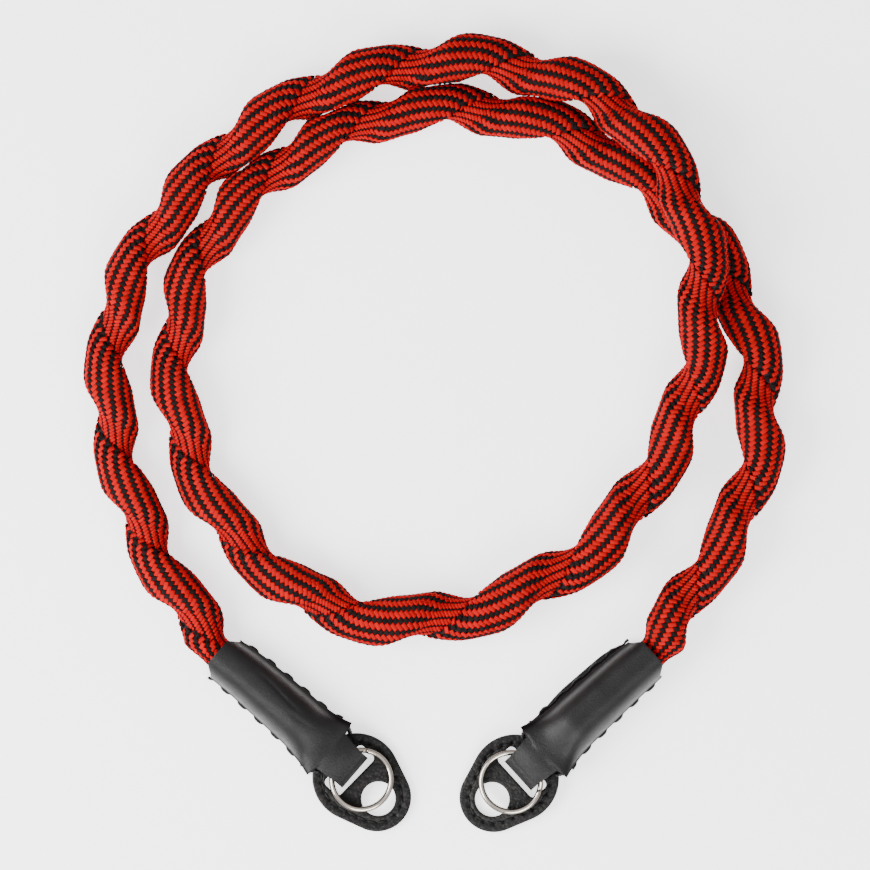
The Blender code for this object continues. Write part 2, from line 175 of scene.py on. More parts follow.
world = bpy.data.worlds.new("light tent")
world.use_nodes = True
tent = world.node_tree
looking = add_node(tent, "SeparateXYZ", {"Vector": add_node(tent, "TexCoord").outputs["Generated"]})
rise = add_node(tent, "MapRange", {"Value": looking.outputs["Z"], "From Min": 0.0, "From Max": 0.9,
                                   "To Min": TENT_LOW, "To Max": TENT_HIGH})
tent.links.new(rise.outputs["Result"], tent.nodes["Background"].inputs["Strength"])
tent.nodes["Background"].inputs["Color"].default_value = (1, 1, 1, 1)
bpy.context.scene.world = world
print("tent:", TENT_LOW, "to", TENT_HIGH)

# %% [markdown]
# ## Dyed polyester yarn
# The braid is textured polyester yarn, dyed in the mass and wound on bobbins. Each float is a bundle of
# fine filaments, so it is matt, and the dye takes a little differently from yarn to yarn. A filament is
# about 0.02 mm thick, too fine to show, so ridges 0.32 mm apart stand for bundles of them. They are a
# wave pattern on each float's own coordinates, so that they turn with the yarn.

# %% Dyed polyester yarn
RIDGE_MM = 0.316  # from ridge to ridge
FLOAT_WIDTH_MM = 1.3  # V runs from 0 to 1 over this
WAVE_REPEAT = 2 * math.pi / 20  # a straight wave texture of scale 1 repeats after this distance


def polyester_yarn(name, dark, light):
    """Colour varies from float to float, and ridges run along each float (V is across)."""
    material, tree, shader = new_material(name)
    uv = add_node(tree, "UVMap", uv_map="float").outputs["UV"]
    tone = add_node(tree, "Attribute", attribute_name="tone").outputs["Fac"]
    dyed = add_node(tree, "Mix", {"Factor": tone, "A": linear(dark), "B": linear(light)}, data_type="RGBA")
    ridges = add_node(tree, "TexWave", {"Vector": uv, "Scale": WAVE_REPEAT * FLOAT_WIDTH_MM / RIDGE_MM,
                                        "Distortion": 0.6, "Detail": 1.0}, bands_direction="Y")
    relief = add_node(tree, "Bump", {"Height": ridges.outputs["Fac"], "Distance": 0.04 * MM,
                                     "Strength": 0.5})
    tree.links.new(dyed.outputs["Result"], shader.inputs["Base Color"])
    tree.links.new(relief.outputs["Normal"], shader.inputs["Normal"])
    shader.inputs["Roughness"].default_value = 0.85
    shader.inputs["Specular IOR Level"].default_value = 0.03
    return material


RED_YARN = polyester_yarn("red_polyester_yarn", "#90070B", "#A4080C")
BLACK_YARN = polyester_yarn("black_polyester_yarn", "#140F0F", "#1D1616")
print("yarns:", RED_YARN.name, BLACK_YARN.name)

# %% [markdown]
# ## The cord's line
# The cord lies where it fell, so its route is a list of given points, with x, y and lift in
# millimetres. It repeats the solid's route. A Catmull-Rom curve runs through them, and it carries on
# inside both sleeves, where the leather grips it. A curve object could hold the same line, but plain
# arrays can be asked for any place along the cord, and every later step asks for thousands.

# %% The cord's route
ROUTE = [
    (-62.5, 28.5, 0), (-67, 35, 0), (-76, 49.5, 0), (-82.5, 66, 0), (-87, 82.5, 0), (-88, 98.5, 0),
    (-86, 114.5, 0), (-79.5, 130, 0), (-71, 142, 0), (-59.5, 155, 0), (-45, 166.5, 0), (-28, 175.5, 0),
    (-9, 180.5, 0), (9.5, 182.5, 0), (28, 179, 1), (44.5, 172.5, 4.5), (58, 161, 9), (67, 147, 11.7),
    (72, 131, 11.8), (72.5, 112, 9), (70.5, 96, 4.5), (64, 80, 1), (55, 64, 0), (42, 49.5, 0),
    (26, 39.5, 0), (7, 32.5, 0), (-12, 31, 0), (-31.5, 36, 0), (-47.5, 47.5, 0), (-59, 61, 0),
    (-66.5, 77.5, 0), (-70, 93, 0), (-69, 112, 0), (-63.5, 129.5, 0), (-54, 143, 0), (-38, 156.5, 0),
    (-20, 165.5, 0), (-1.5, 169.5, 0), (17.5, 168.5, 0), (34, 164, 0), (50, 155.5, 0), (63, 145, 0),
    (74, 133.5, 0), (81, 119.5, 0), (86.5, 104, 0), (88, 88, 0), (86.5, 71.5, 0), (80, 55, 0),
    (70.5, 40.5, 0), (65, 31.5, 0),
]
CORD_REST = 7.20 * MM  # height of the cord's middle where it lies on the table
CORD_END_RADIUS = 4.45 * MM  # where the sleeve grips it
CORD_GRIP = 28.0 * MM  # length inside a sleeve
LEATHER = 1.5 * MM
GAP = 0.3 * MM
CORD_END_HEIGHT = LEATHER + GAP + CORD_END_RADIUS
print(len(ROUTE), "points between the sleeves")

# %% The fittings' places
# each fitting: its mouth, its heading, and how far its pieces are shifted to its left
ENDS = [
    {"side": "left", "x": -58.8 * MM, "y": 22.4 * MM, "heading": -40.8, "front_shift": 0.5 * MM,
     "back_shift": 0.5 * MM, "ring_shift": -0.7 * MM, "fold_shift": -0.4 * MM, "tab_yaw": -3.5},
    {"side": "right", "x": 58.9 * MM, "y": 22.3 * MM, "heading": -137.6, "front_shift": -0.3 * MM,
     "back_shift": -1.9 * MM, "ring_shift": 0.0, "fold_shift": 0.0, "tab_yaw": 0.0},
]
SLEEVE_LENGTH = 40.0 * MM
MOUTH_SWING = 0.30  # share of the sleeve over which its layers swing sideways from the mouth
BACK_RELEASE = 0.6  # share of the sleeve where they start to swing to the fold


def smooth(share):
    share = np.clip(share, 0.0, 1.0)
    return share * share * (3 - 2 * share)


def end_frame(end):
    """The matrix of a fitting: X along the sleeve towards the ring, Y to its left, Z up."""
    turn = Matrix.Rotation(math.radians(end["heading"]), 4, "Z")
    return Matrix.Translation((end["x"], end["y"], 0.0)) @ turn


def sideways(end, layer, along):
    """How far a layer of the sleeve lies beside the fitting's middle line."""
    swing = smooth(along / MOUTH_SWING) * (1 - smooth((along - BACK_RELEASE) / (1 - BACK_RELEASE)))
    return end[layer] * swing


print("the fittings head for", [end["heading"] for end in ENDS], "degrees")

# %% The cord's line
GRIP_KNOTS = (1.0, 0.6, 0.3, 0.0)  # shares of CORD_GRIP
LINE_STEPS = 16


def smooth_line(knots):
    """A Catmull-Rom curve through the knots."""
    padded = np.vstack([2 * knots[0] - knots[1], knots, 2 * knots[-1] - knots[-2]])
    t = (np.arange(LINE_STEPS) / LINE_STEPS)[:, None]
    pieces = [0.5 * (2 * p1 + (p2 - p0) * t + (2 * p0 - 5 * p1 + 4 * p2 - p3) * t ** 2
                     + (3 * p1 - p0 - 3 * p2 + p3) * t ** 3)
              for p0, p1, p2, p3 in zip(padded, padded[1:], padded[2:], padded[3:])]
    return np.vstack(pieces + [knots[-1:]])


def gripped(end):
    """Knots of the cord's line inside a sleeve, from the cord's end to the mouth."""
    knots = []
    for share in GRIP_KNOTS:
        u = CORD_GRIP * share
        v = float(sideways(end, "front_shift", u / SLEEVE_LENGTH))
        knots.append(end_frame(end) @ Vector((u, v, CORD_END_HEIGHT)))
    return knots


table = [Vector((x * MM, y * MM, CORD_REST + lift * MM)) for x, y, lift in ROUTE]
LINE = smooth_line(np.array(gripped(ENDS[0]) + table + gripped(ENDS[1])[::-1]))
TRAVELLED = np.concatenate([[0.0], np.cumsum(np.linalg.norm(np.diff(LINE, axis=0), axis=1))])
START = TRAVELLED[(len(GRIP_KNOTS) - 1) * LINE_STEPS]
STOP = TRAVELLED[-1 - (len(GRIP_KNOTS) - 1) * LINE_STEPS]
FREE = STOP - START
CORD_LENGTH = TRAVELLED[-1]
print(f"cord: {CORD_LENGTH:.3f} m from end to end, {FREE:.3f} m of it between the sleeves")

# %% [markdown]
# ## The cord's corkscrew form
# The braided tube is pulled into a corkscrew: one valley winds round it like a thread, and the braid
# bulges between. It could be sculpted, or a ribbed tube could be twisted, but a formula for the radius
# serves the core and every float alike. The form is given as the half width seen from each side, which
# is easy to measure. The valley starts at a sharp fold, where the bulge rolls over the start of the
# valley, and it ends in a gentle slope. Where two stretches of cord touch, both are pressed flat halfway.

# %% The cord's cross-section
CORD_HALF_WIDTH = 5.95 * MM
CORD_SWING = 1.70 * MM  # how far the crest stands out and the valley stands in
CORD_FLAT = 0.43 * MM  # makes the crest broader and the sides fuller
CORD_LEAN = 0.22 * MM  # makes one slope of the bulge steeper than the other
CORD_NARROWING = 7.0 * MM  # length over which it narrows before a sleeve
PRESS_APART = 58.4 * MM  # stretches nearer to each other along the cord don't press
PRESS_GAP = 0.6 * MM  # left between two stretches that press
TWIST = [  # share of the route between the mouths, and turns of the valley made by there
    (0.033, 0), (0.129, 3), (0.226, 6), (0.325, 9), (0.426, 12), (0.537, 15), (0.638, 18), (0.733, 21),
    (0.834, 24), (0.932, 27), (0.968, 28),
]
PLUMPNESS = [  # share of the route, and millimetres that the cord is thicker or thinner there
    (0.00, 0.0), (0.08, -0.25), (0.15, -0.25), (0.20, 0.0), (0.40, 0.0), (0.45, 0.3), (0.52, 0.3),
    (0.57, 0.0), (0.62, -0.3), (0.76, -0.3), (0.80, 0.0), (1.00, 0.0),
]
FOLD_AT = 25.0  # degrees from the valley's middle back to the fold that it starts with
FOLD_SWELL = 0.40 * MM  # the bulge stands out this much just before the fold
FOLD_GROOVE = 0.60 * MM  # and rolls down this deep into it
FOLD_ROLL = 0.07  # share of a turn over which it rolls down
FOLD_RISE = 0.06  # share of a turn over which the valley rises from the groove
VALLEY_SPAN = 0.28  # share of a turn from the fold to the end of the valley


def turns_made(at):
    """Turns of the valley at shares of the route."""
    shares, turns = np.array(TWIST, float).T
    rate = turns[-1] / (shares[-1] - shares[0])
    beyond = np.minimum(at - shares[0], 0) + np.maximum(at - shares[-1], 0)
    return np.interp(at, shares, turns) + beyond * rate


facing = np.linspace(-math.pi, math.pi, 361)
half = (CORD_HALF_WIDTH + CORD_SWING * np.cos(facing) - CORD_FLAT * np.cos(2 * facing)
        + CORD_LEAN * np.sin(2 * facing))
slope = (2 * CORD_FLAT * np.sin(2 * facing) + 2 * CORD_LEAN * np.cos(2 * facing)
         - CORD_SWING * np.sin(facing))
section_x = half * np.cos(facing) - slope * np.sin(facing)
section_y = half * np.sin(facing) + slope * np.cos(facing)
SECTION = (np.unwrap(np.arctan2(section_y, section_x)), np.hypot(section_x, section_y))


def since_fold(s, angle):
    """Turns made since the fold passed this angle of the cord; the whole part counts the folds."""
    return turns_made((s - START) / FREE) - angle / (2 * math.pi) + FOLD_AT / 360


def cord_radius(s, angle):
    """Distance from the cord's middle to its skin at places along it and angles round it."""
    at = (s - START) / FREE
    valley = 2 * math.pi * turns_made(at)
    free = np.interp(angle - valley - math.pi, *SECTION, period=2 * math.pi)
    free = free + np.interp(at, *np.array(PLUMPNESS).T) * MM
    t = since_fold(s, angle) % 1.0
    roll = np.clip((t - (1 - FOLD_ROLL)) / FOLD_ROLL, 0, 1)
    swell = smooth((t - (1 - 3 * FOLD_ROLL)) / (2 * FOLD_ROLL)) * FOLD_SWELL
    plunge = (FOLD_SWELL + FOLD_GROOVE) * roll ** 2.5 + FOLD_GROOVE * (1 - smooth(t / FOLD_RISE))
    grip = smooth(np.minimum(s - START, STOP - s) / CORD_NARROWING)
    return CORD_END_RADIUS + (free + swell - plunge - CORD_END_RADIUS) * grip


print(f"half width {half.min() / MM:.1f} to {half.max() / MM:.1f} mm;",
      f"{turns_made(1.0) - turns_made(0.0):.1f} turns of the valley")

# %% The cord's surface


def cord_frame(s):
    """Middle, direction, right and up of the cord at places along it."""
    middle = np.column_stack([np.interp(s, TRAVELLED, LINE[:, axis]) for axis in range(3)])
    step = 0.4 * MM
    ahead = np.column_stack([np.interp(s + step, TRAVELLED, LINE[:, axis]) for axis in range(3)])
    behind = np.column_stack([np.interp(s - step, TRAVELLED, LINE[:, axis]) for axis in range(3)])
    along = ahead - behind
    along /= np.linalg.norm(along, axis=1)[:, None]
    right = np.cross(along, (0, 0, 1))
    right /= np.linalg.norm(right, axis=1)[:, None]
    return middle, along, right, np.cross(right, along)


PRESS_S = np.arange(0, CORD_LENGTH, 1.5 * MM)
PRESS_FRAME = cord_frame(PRESS_S)
PRESS_BATCH = 4000  # points at a time, to save memory


def press(points, s):
    """Moves points that lie inside another stretch of the cord halfway out, so both press flat."""
    middle, along, right, up = PRESS_FRAME
    moved = points.copy()
    for first in range(0, len(points), PRESS_BATCH):
        part = slice(first, first + PRESS_BATCH)
        away = points[part][:, None] - middle[None]
        distance = np.einsum("ijk,ijk->ij", away, away)
        distance[np.abs(s[part][:, None] - PRESS_S[None]) < PRESS_APART] = np.inf
        nearest = distance.argmin(axis=1)
        across = away[np.arange(len(nearest)), nearest]
        ahead = (across * along[nearest]).sum(axis=1)
        across = across - ahead[:, None] * along[nearest]
        depth = np.linalg.norm(across, axis=1)
        rise = (across * up[nearest]).sum(axis=1)
        aside = (across * right[nearest]).sum(axis=1)
        room = cord_radius(PRESS_S[nearest] + ahead, np.arctan2(rise, aside)) + PRESS_GAP - depth
        moved[part] += across / depth[:, None] * np.maximum(room, 0)[:, None] / 2
    return moved


def cord_skin(s, angle, inset):
    """Points of the cord's skin, inset from its outer surface, pressed by the other stretches."""
    middle, along, right, up = cord_frame(s)
    reach = cord_radius(s, angle) - inset
    points = middle + right * (reach * np.cos(angle))[:, None] + up * (reach * np.sin(angle))[:, None]
    points = press(points, s)
    points[:, 2] = np.maximum(points[:, 2], inset)
    return points


print("the cord's places are compared with", len(PRESS_S), "others to see what it touches")

# %% Meshes from points


def grid_faces(rows, columns, closed):
    """Quads between neighbouring rows of points, closed round the columns or open."""
    r, c = np.meshgrid(np.arange(rows - 1), np.arange(columns if closed else columns - 1), indexing="ij")
    n = (c + 1) % columns
    return np.stack([r * columns + c, (r + 1) * columns + c, (r + 1) * columns + n, r * columns + n],
                    axis=-1).reshape(-1, 4)


def tube_faces(rows, sides):
    """The skin of a tube of closed rows of points, and a cap on each end."""
    last = (rows - 1) * sides
    skin = [tuple(face) for face in grid_faces(rows, sides, True).tolist()]
    return skin + [tuple(range(sides)), tuple(range(last + sides - 1, last - 1, -1))]


def mesh_object(name, points, faces, material):
    mesh = bpy.data.meshes.new(name)
    mesh.from_pydata(np.asarray(points).tolist(), [],
                     faces.tolist() if isinstance(faces, np.ndarray) else faces)
    mesh.shade_smooth()
    mesh.materials.append(material)
    return add_object(name, mesh)


def keep_values(piece, name, values):
    """Keeps one number for each point of a mesh, which its material reads by name."""
    piece.data.attributes.new(name, "FLOAT", "POINT").data.foreach_set("value", np.asarray(values, float))


print("a tube of 2 rows of 8 points has", len(tube_faces(2, 8)), "faces")

# %% [markdown]
# ## The core under the braid
# Real braid is wound on a filling, which shows only as darkness between the yarns. It is a plain tube
# that follows the same surface a little deeper, so the yarns have something to lie on. Closing the braid
# itself would take far more faces. This tube is also what is measured as the cord.

# %% The core under the braid
CORE_INSET = 0.70 * MM  # under the braid's crown
CORE_FOLD_INSET = 1.3 * MM  # more than that beside the fold, where its flats would cut the corner
CORE_FOLD_REACH = 0.10  # share of a turn on each side of the fold where it lies deeper
CORE_SIDES = 48
CORE_STEP = 1.2 * MM

core_material, core_tree, core_shader = new_material("shaded_filling")
core_shader.inputs["Base Color"].default_value = linear("#1C0A0B")
core_shader.inputs["Roughness"].default_value = 0.95
core_s = np.linspace(0, CORD_LENGTH, round(CORD_LENGTH / CORE_STEP) + 1)
core_angle = 2 * math.pi * np.arange(CORE_SIDES) / CORE_SIDES
grid_s, grid_angle = [g.ravel() for g in np.meshgrid(core_s, core_angle, indexing="ij")]
from_fold = since_fold(grid_s, grid_angle) % 1.0
beside = np.maximum(1 - smooth(from_fold / CORE_FOLD_REACH),
                    smooth((from_fold - (1 - CORE_FOLD_REACH)) / CORE_FOLD_REACH))
core_points = cord_skin(grid_s, grid_angle, CORE_INSET + CORE_FOLD_INSET * beside)
core = mesh_object("cord_core", core_points, tube_faces(len(core_s), CORE_SIDES), core_material)
print("core:", len(core.data.polygons), "faces")

# %% [markdown]
# ## Braiding the cord
# A round braid has yarns that wind to the left and yarns that wind to the right. Here all red yarns go
# one way and all black ones the other, each passing over two and under two, so they surface in columns:
# 12 red and 12 black ones, whose floats lean against each other. In the valley the tube is drawn in: the
# floats crowd together, the red ones close up into ribs, and the black ones nearly vanish between them.
# A striped image would lie flat and leave a smooth outline. Whole yarns would need their hidden halves
# too, so only the floats are made: each is a small closed pillow with a slanted outline, whose long
# edges run with its own yarn, and whose ends are cut by the yarns that cross it.

# %% The braid's columns
PAIRS = 12  # columns of each colour
FLOAT_PITCH = 1.43 * MM  # from float to float along a column
VALLEY_EXTRA = 3  # floats more that a column gains each time it passes the valley
COLUMN_DRIFT = 0.05  # turns that a column drifts back for each turn of the valley
COLUMN_START = 0.052  # share of the skin from the fold to the first column where the turns' count starts
VALLEY_CROWD = 1.5  # columns stand this much closer in the valley


def in_valley(t):
    """1 in the valley, 0 on the bulge; t is the share of a turn since the fold."""
    return 1 - smooth((t - VALLEY_SPAN + 0.04) / 0.06)


# how the columns share out the skin of one section, counted from the fold
crowd_t = np.linspace(0, 1, 721)
crowd_r = np.interp(2 * math.pi * (FOLD_AT / 360 - crowd_t) - math.pi, *SECTION, period=2 * math.pi)
crowd_slope = np.gradient(crowd_r, crowd_t) / (2 * math.pi)
crowd = np.hypot(crowd_r, crowd_slope) * (1 + (VALLEY_CROWD - 1) * in_valley(crowd_t))
COLUMN_SHARE = np.concatenate([[0], np.cumsum((crowd[1:] + crowd[:-1]) / 2)])
COLUMN_SHARE /= COLUMN_SHARE[-1]
# how far a column has got with its extra floats, for each place on the section
crowd_valley = np.gradient(COLUMN_SHARE) * in_valley(crowd_t)
CROWD_EXTRA = np.cumsum(crowd_valley) / crowd_valley.sum()


def column_passed(pair, s):
    """How often the valley has passed a column, and the share of a turn since."""
    turns = turns_made((s - START) / FREE)
    passed = (1 + COLUMN_DRIFT) * turns - pair / PAIRS + COLUMN_START
    return turns, np.floor(passed), np.interp(passed - np.floor(passed), COLUMN_SHARE, crowd_t)


def column_path(pair, s):
    """Angle of a column along the cord: it keeps its share of the skin as the valley passes."""
    turns, whole, t = column_passed(pair, s)
    return 2 * math.pi * (turns + FOLD_AT / 360 - whole - t)


def valley_share(s, angle):
    return in_valley(since_fold(s, angle) % 1.0)


def braid_floats(pair, offset, first, last):
    """Places of one column's floats: along the cord, angle round it, and pitch.

    The extra floats of the valley are a whole number, so the columns keep step on the bulge.
    """
    s = np.arange(0, CORD_LENGTH, 0.1 * MM)
    _, whole, t = column_passed(pair, s)
    count = s / FLOAT_PITCH + VALLEY_EXTRA * (whole + np.interp(t, crowd_t, CROWD_EXTRA)) + offset
    pitch = 1 / np.gradient(count, s)
    at = np.interp(np.arange(math.ceil(count[0]), math.floor(count[-1])), count, s)
    at = at[(at > first) & (at < last)]
    return at, np.interp(at, s, pitch), np.full(len(at), float(pair))


print("a column has", len(braid_floats(0, 0.0, START, STOP)[0]), "floats")

# %% The shape of a float
YARN_HEIGHT = 0.30 * MM  # half thickness of a float
FLOAT_DIP = 0.12 * MM  # how far its ends dive under the yarns that cross it
# each ring of points: its place along the float, its share of the width, and its share of the height
FLOAT_RINGS = ((-1.0, 0.96, 0.35), (-0.76, 1.0, 0.92), (0.76, 1.0, 0.92), (1.0, 0.96, 0.35))
FLOAT_SECTION = ((1.0, 0.0), (0.78, 0.84), (0.0, 1.0), (-0.78, 0.84), (-1.0, 0.0), (0.0, -0.7))
# halves of a red float's flank and of its slanted end, across, as shares of a pair's width
RED_REACH, RED_REACH_VALLEY = 0.275, 0.36
RED_TOOTH, RED_TOOTH_VALLEY = 0.135, 0.09
RED_RUN, RED_RISE = 0.475, 0.345  # the same halves along the cord, in pitches
RED_CLOSE = 0.25  # how much more a red float spreads along the valley
# half of a black diamond's side: across, as a share of a pair's width, and along the cord, in pitches
BLACK_REACH, BLACK_REACH_VALLEY = 0.18, 0.12
BLACK_RUN, BLACK_RUN_VALLEY = 0.33, 0.17
AXIS_STEP = 0.6 * MM  # distance along the cord over which a float's direction is taken
AXIS_PAIRS = 0.3  # and pairs of columns over which its sideways direction is taken


def float_faces(turned_over):
    """Triangles of one float's closed skin."""
    sides, last = len(FLOAT_SECTION), (len(FLOAT_RINGS) - 1) * len(FLOAT_SECTION)
    faces = []
    for c in range(sides):
        n = (c + 1) % sides
        for r in range(0, last, sides):
            faces.append((r + c, r + sides + c, r + sides + n))
            faces.append((r + c, r + sides + n, r + n))
    for c in range(1, sides - 1):
        faces.append((0, c, c + 1))
        faces.append((last, last + c + 1, last + c))
    return np.array(faces)[:, ::-1] if turned_over else np.array(faces)


def float_axes(pair, s, middle, inset):
    """Directions along, across and out of the cord at each float, and the width of a pair there.

    They are taken on the float's own side of the fold.
    """
    before = since_fold(s, column_path(pair, s)) % 1.0 > 0.5
    back, fore = np.where(before, -AXIS_STEP, 0), np.where(before, 0, AXIS_STEP)
    along = cord_skin(s + fore, column_path(pair, s + fore), inset)
    along -= cord_skin(s + back, column_path(pair, s + back), inset)
    along /= np.linalg.norm(along, axis=1)[:, None]
    left, right = np.where(before, AXIS_PAIRS, 0), np.where(before, 0, -AXIS_PAIRS)
    aside = (cord_skin(s, column_path(pair + left, s), inset)
             - cord_skin(s, column_path(pair + right, s), inset))
    aside -= (aside * along).sum(axis=1)[:, None] * along
    width = np.linalg.norm(aside, axis=1)
    across = aside / width[:, None]
    normal = np.cross(along, across)
    normal *= np.sign((normal * (middle - cord_frame(s)[0])).sum(axis=1))[:, None]
    return along, across, normal, width / AXIS_PAIRS


print("a float has", len(float_faces(False)), "triangles")

# %% Braiding the cord


def float_grains(name, columns, lean, material, seed):
    """Joins the floats of some columns into one mesh. lean is -1 for yarns that wind to the right."""
    first, last = START - 4 * MM, STOP + 4 * MM
    rows = [braid_floats(pair, offset, first, last) for pair, offset in columns]
    s, pitch, pair = [np.concatenate(part) for part in zip(*rows)]
    angle = column_path(pair, s)
    red = lean < 0
    low = valley_share(s, angle)
    inset = YARN_HEIGHT * 1.05 + (0 if red else 0.02 + 0.06 * low) * MM
    middle = cord_skin(s, angle, inset)
    along, across, normal, wide = float_axes(pair, s, middle, inset)
    if red:
        reach = wide * (RED_REACH + (RED_REACH_VALLEY - RED_REACH) * low)
        tooth = wide * (RED_TOOTH + (RED_TOOTH_VALLEY - RED_TOOTH) * low)
        run, rise = RED_RUN * pitch, RED_RISE * pitch * (1 + RED_CLOSE * low)
    else:
        reach = tooth = wide * (BLACK_REACH + (BLACK_REACH_VALLEY - BLACK_REACH) * low)
        run = BLACK_RUN * pitch
        rise = (BLACK_RUN + (BLACK_RUN_VALLEY - BLACK_RUN) * low) * pitch
    length = along * run[:, None] + across * (lean * reach)[:, None]
    width = along * rise[:, None] - across * (lean * tooth)[:, None]
    flatter = (YARN_HEIGHT * (1 - 0.3 * low))[:, None]
    points, uv = [], []
    for place, share_of_width, share_of_height in FLOAT_RINGS:
        for aside, up in FLOAT_SECTION:
            height = flatter * share_of_height * up - FLOAT_DIP * place ** 2
            points.append(middle + length * place + width * (share_of_width * aside) + normal * height)
            uv.append((0.5 + 0.5 * place, 0.5 + 0.5 * share_of_width * aside))
    faces = (float_faces(red)[None] + len(uv) * np.arange(len(s))[:, None, None]).reshape(-1, 3)
    piece = mesh_object(name, np.stack(points, axis=1).reshape(-1, 3), faces, material)
    tone = np.random.default_rng(seed).uniform(0, 1, len(s)) ** 0.8
    keep_values(piece, "tone", np.repeat(tone, len(uv)))
    flat = np.tile(uv, (len(s), 1))[faces.ravel()]
    piece.data.uv_layers.new(name="float").data.foreach_set("uv", flat.ravel())
    crowded = pitch[low > 0.9].mean() / MM
    print(f"{name}: {len(s)} floats, {len(faces)} triangles, {crowded:.1f} mm apart in the valley")
    return piece


braid = []
for third in range(3):
    pairs = range(third * 4, third * 4 + 4)
    red_columns = [(p, 0.5 * (p % 2)) for p in pairs]
    black_columns = [(p + 0.5, 0.5 * (p % 2) - 0.25) for p in pairs]
    braid.append(float_grains(f"red_floats_{third + 1}", red_columns, -1, RED_YARN, 11))
    braid.append(float_grains(f"black_floats_{third + 1}", black_columns, 1, BLACK_YARN, 12))

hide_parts("cord")
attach(core, "root")
for piece in braid:
    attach(piece, "root")
    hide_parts("cord")
tuple(cord_frame(np.array([START]))[0][0])

# %% [markdown]
# ## Bridle leather
# The sleeves are cut from bridle leather: cowhide tanned, dyed black, and waxed until its surface is
# smooth and a little glossy. The wax gives a soft wide sheen and the fine pores break it up. Where the
# edge was pared thin it shows grey fibres, and its burnished rim keeps a dark red tone. Noise in the
# object's own millimetres makes pores and clouds without a seam, which an image would have at the fold,
# and numbers kept on the mesh say where the rim, the pared edge and the dull flank are.

# %% Bridle leather
PORE_MM = 0.38  # real pores are about 0.1 mm, too fine for the picture
CLOUD_MM, WIPE_MM, RIPPLE_MM = 9.0, 3.0, 2.2  # clouds in the dye, marks of the wax cloth, low ripples

leather, tree, shader = new_material("black_bridle_leather")
place = add_node(tree, "TexCoord").outputs["Object"]
clouds = add_node(tree, "TexNoise", {"Vector": place, "Scale": 1000 / CLOUD_MM, "Detail": 4.0})
cloudy = add_node(tree, "MapRange", {"Value": clouds.outputs["Fac"], "From Min": 0.35, "From Max": 0.65})
dyed = add_node(tree, "Mix", {"Factor": cloudy.outputs["Result"], "A": linear("#090808"),
                              "B": linear("#100E0E")}, data_type="RGBA")
rim = add_node(tree, "Attribute", attribute_name="rim").outputs["Fac"]
worn = add_node(tree, "Mix", {"Factor": rim, "A": dyed.outputs["Result"], "B": linear("#230A0A")},
                data_type="RGBA")
pared = add_node(tree, "Attribute", attribute_name="pared").outputs["Fac"]
skived = add_node(tree, "Mix", {"Factor": pared, "A": worn.outputs["Result"], "B": linear("#222126")},
                  data_type="RGBA")
tree.links.new(skived.outputs["Result"], shader.inputs["Base Color"])
wiped = add_node(tree, "TexNoise", {"Vector": place, "Scale": 1000 / WIPE_MM, "Detail": 3.0})
gloss = add_node(tree, "MapRange", {"Value": wiped.outputs["Fac"], "From Min": 0.3, "From Max": 0.7,
                                    "To Min": 0.36, "To Max": 0.47})
flank = add_node(tree, "Attribute", attribute_name="flank").outputs["Fac"]
dull = add_node(tree, "Mix", {"Factor": flank, "A": gloss.outputs["Result"], "B": 0.85}, data_type="FLOAT")
tree.links.new(dull.outputs["Result"], shader.inputs["Roughness"])
shine = add_node(tree, "MapRange", {"Value": flank, "To Min": 0.38, "To Max": 0.03})
tree.links.new(shine.outputs["Result"], shader.inputs["Specular IOR Level"])
pores = add_node(tree, "TexNoise", {"Vector": place, "Scale": 1000 / PORE_MM, "Detail": 3.0})
pitted = add_node(tree, "Bump", {"Height": pores.outputs["Fac"], "Distance": 0.11 * MM, "Strength": 1.0})
ripples = add_node(tree, "TexNoise", {"Vector": place, "Scale": 1000 / RIPPLE_MM, "Detail": 2.0})
relief = add_node(tree, "Bump", {"Height": ripples.outputs["Fac"], "Distance": 0.08 * MM, "Strength": 0.3,
                                 "Normal": pitted.outputs["Normal"]})
tree.links.new(relief.outputs["Normal"], shader.inputs["Normal"])
shader.inputs["IOR"].default_value = 1.38
print("leather nodes:", len(tree.nodes))

# %% [markdown]
# ## Folding the sleeves
# Each sleeve is one strip of leather. Its front is pressed into an arch over the cord's end, it narrows to
# a tongue that passes through the ring, and after the fold it runs back flat underneath. A cloth
# simulation could fold it, but wouldn't end at the solid's sizes. So the strip's outer skin is a grid of
# points worked out from the same shares as the solid's, only finer and rounded where they change.
# Solidify then gives it its 1.5 mm wall, and Bevel breaks the cut edges.

# %% Sleeve skin
SHOULDER_WIDTH = 18.6 * MM
TONGUE_LENGTH, TONGUE_WIDTH = 9.5 * MM, 12.2 * MM
FOLD_RADIUS = 2.5 * MM
MOUTH_CORNER = 3.0 * MM
BACK_SETBACK = 1.2 * MM
SLEEVE_EASE = 0.65 * MM
TAB_SEAT = LEATHER + GAP
MOUTH_CROWN = CORD_END_HEIGHT + CORD_END_RADIUS + SLEEVE_EASE + LEATHER
MOUTH_HALF = CORD_END_RADIUS + SLEEVE_EASE + LEATHER
FOLD_END = SLEEVE_LENGTH + TONGUE_LENGTH
TONGUE_TOP = 8.86 * MM  # height of the tongue's upper side
FOLD_HALF = 5.32 * MM  # half the width at the fold
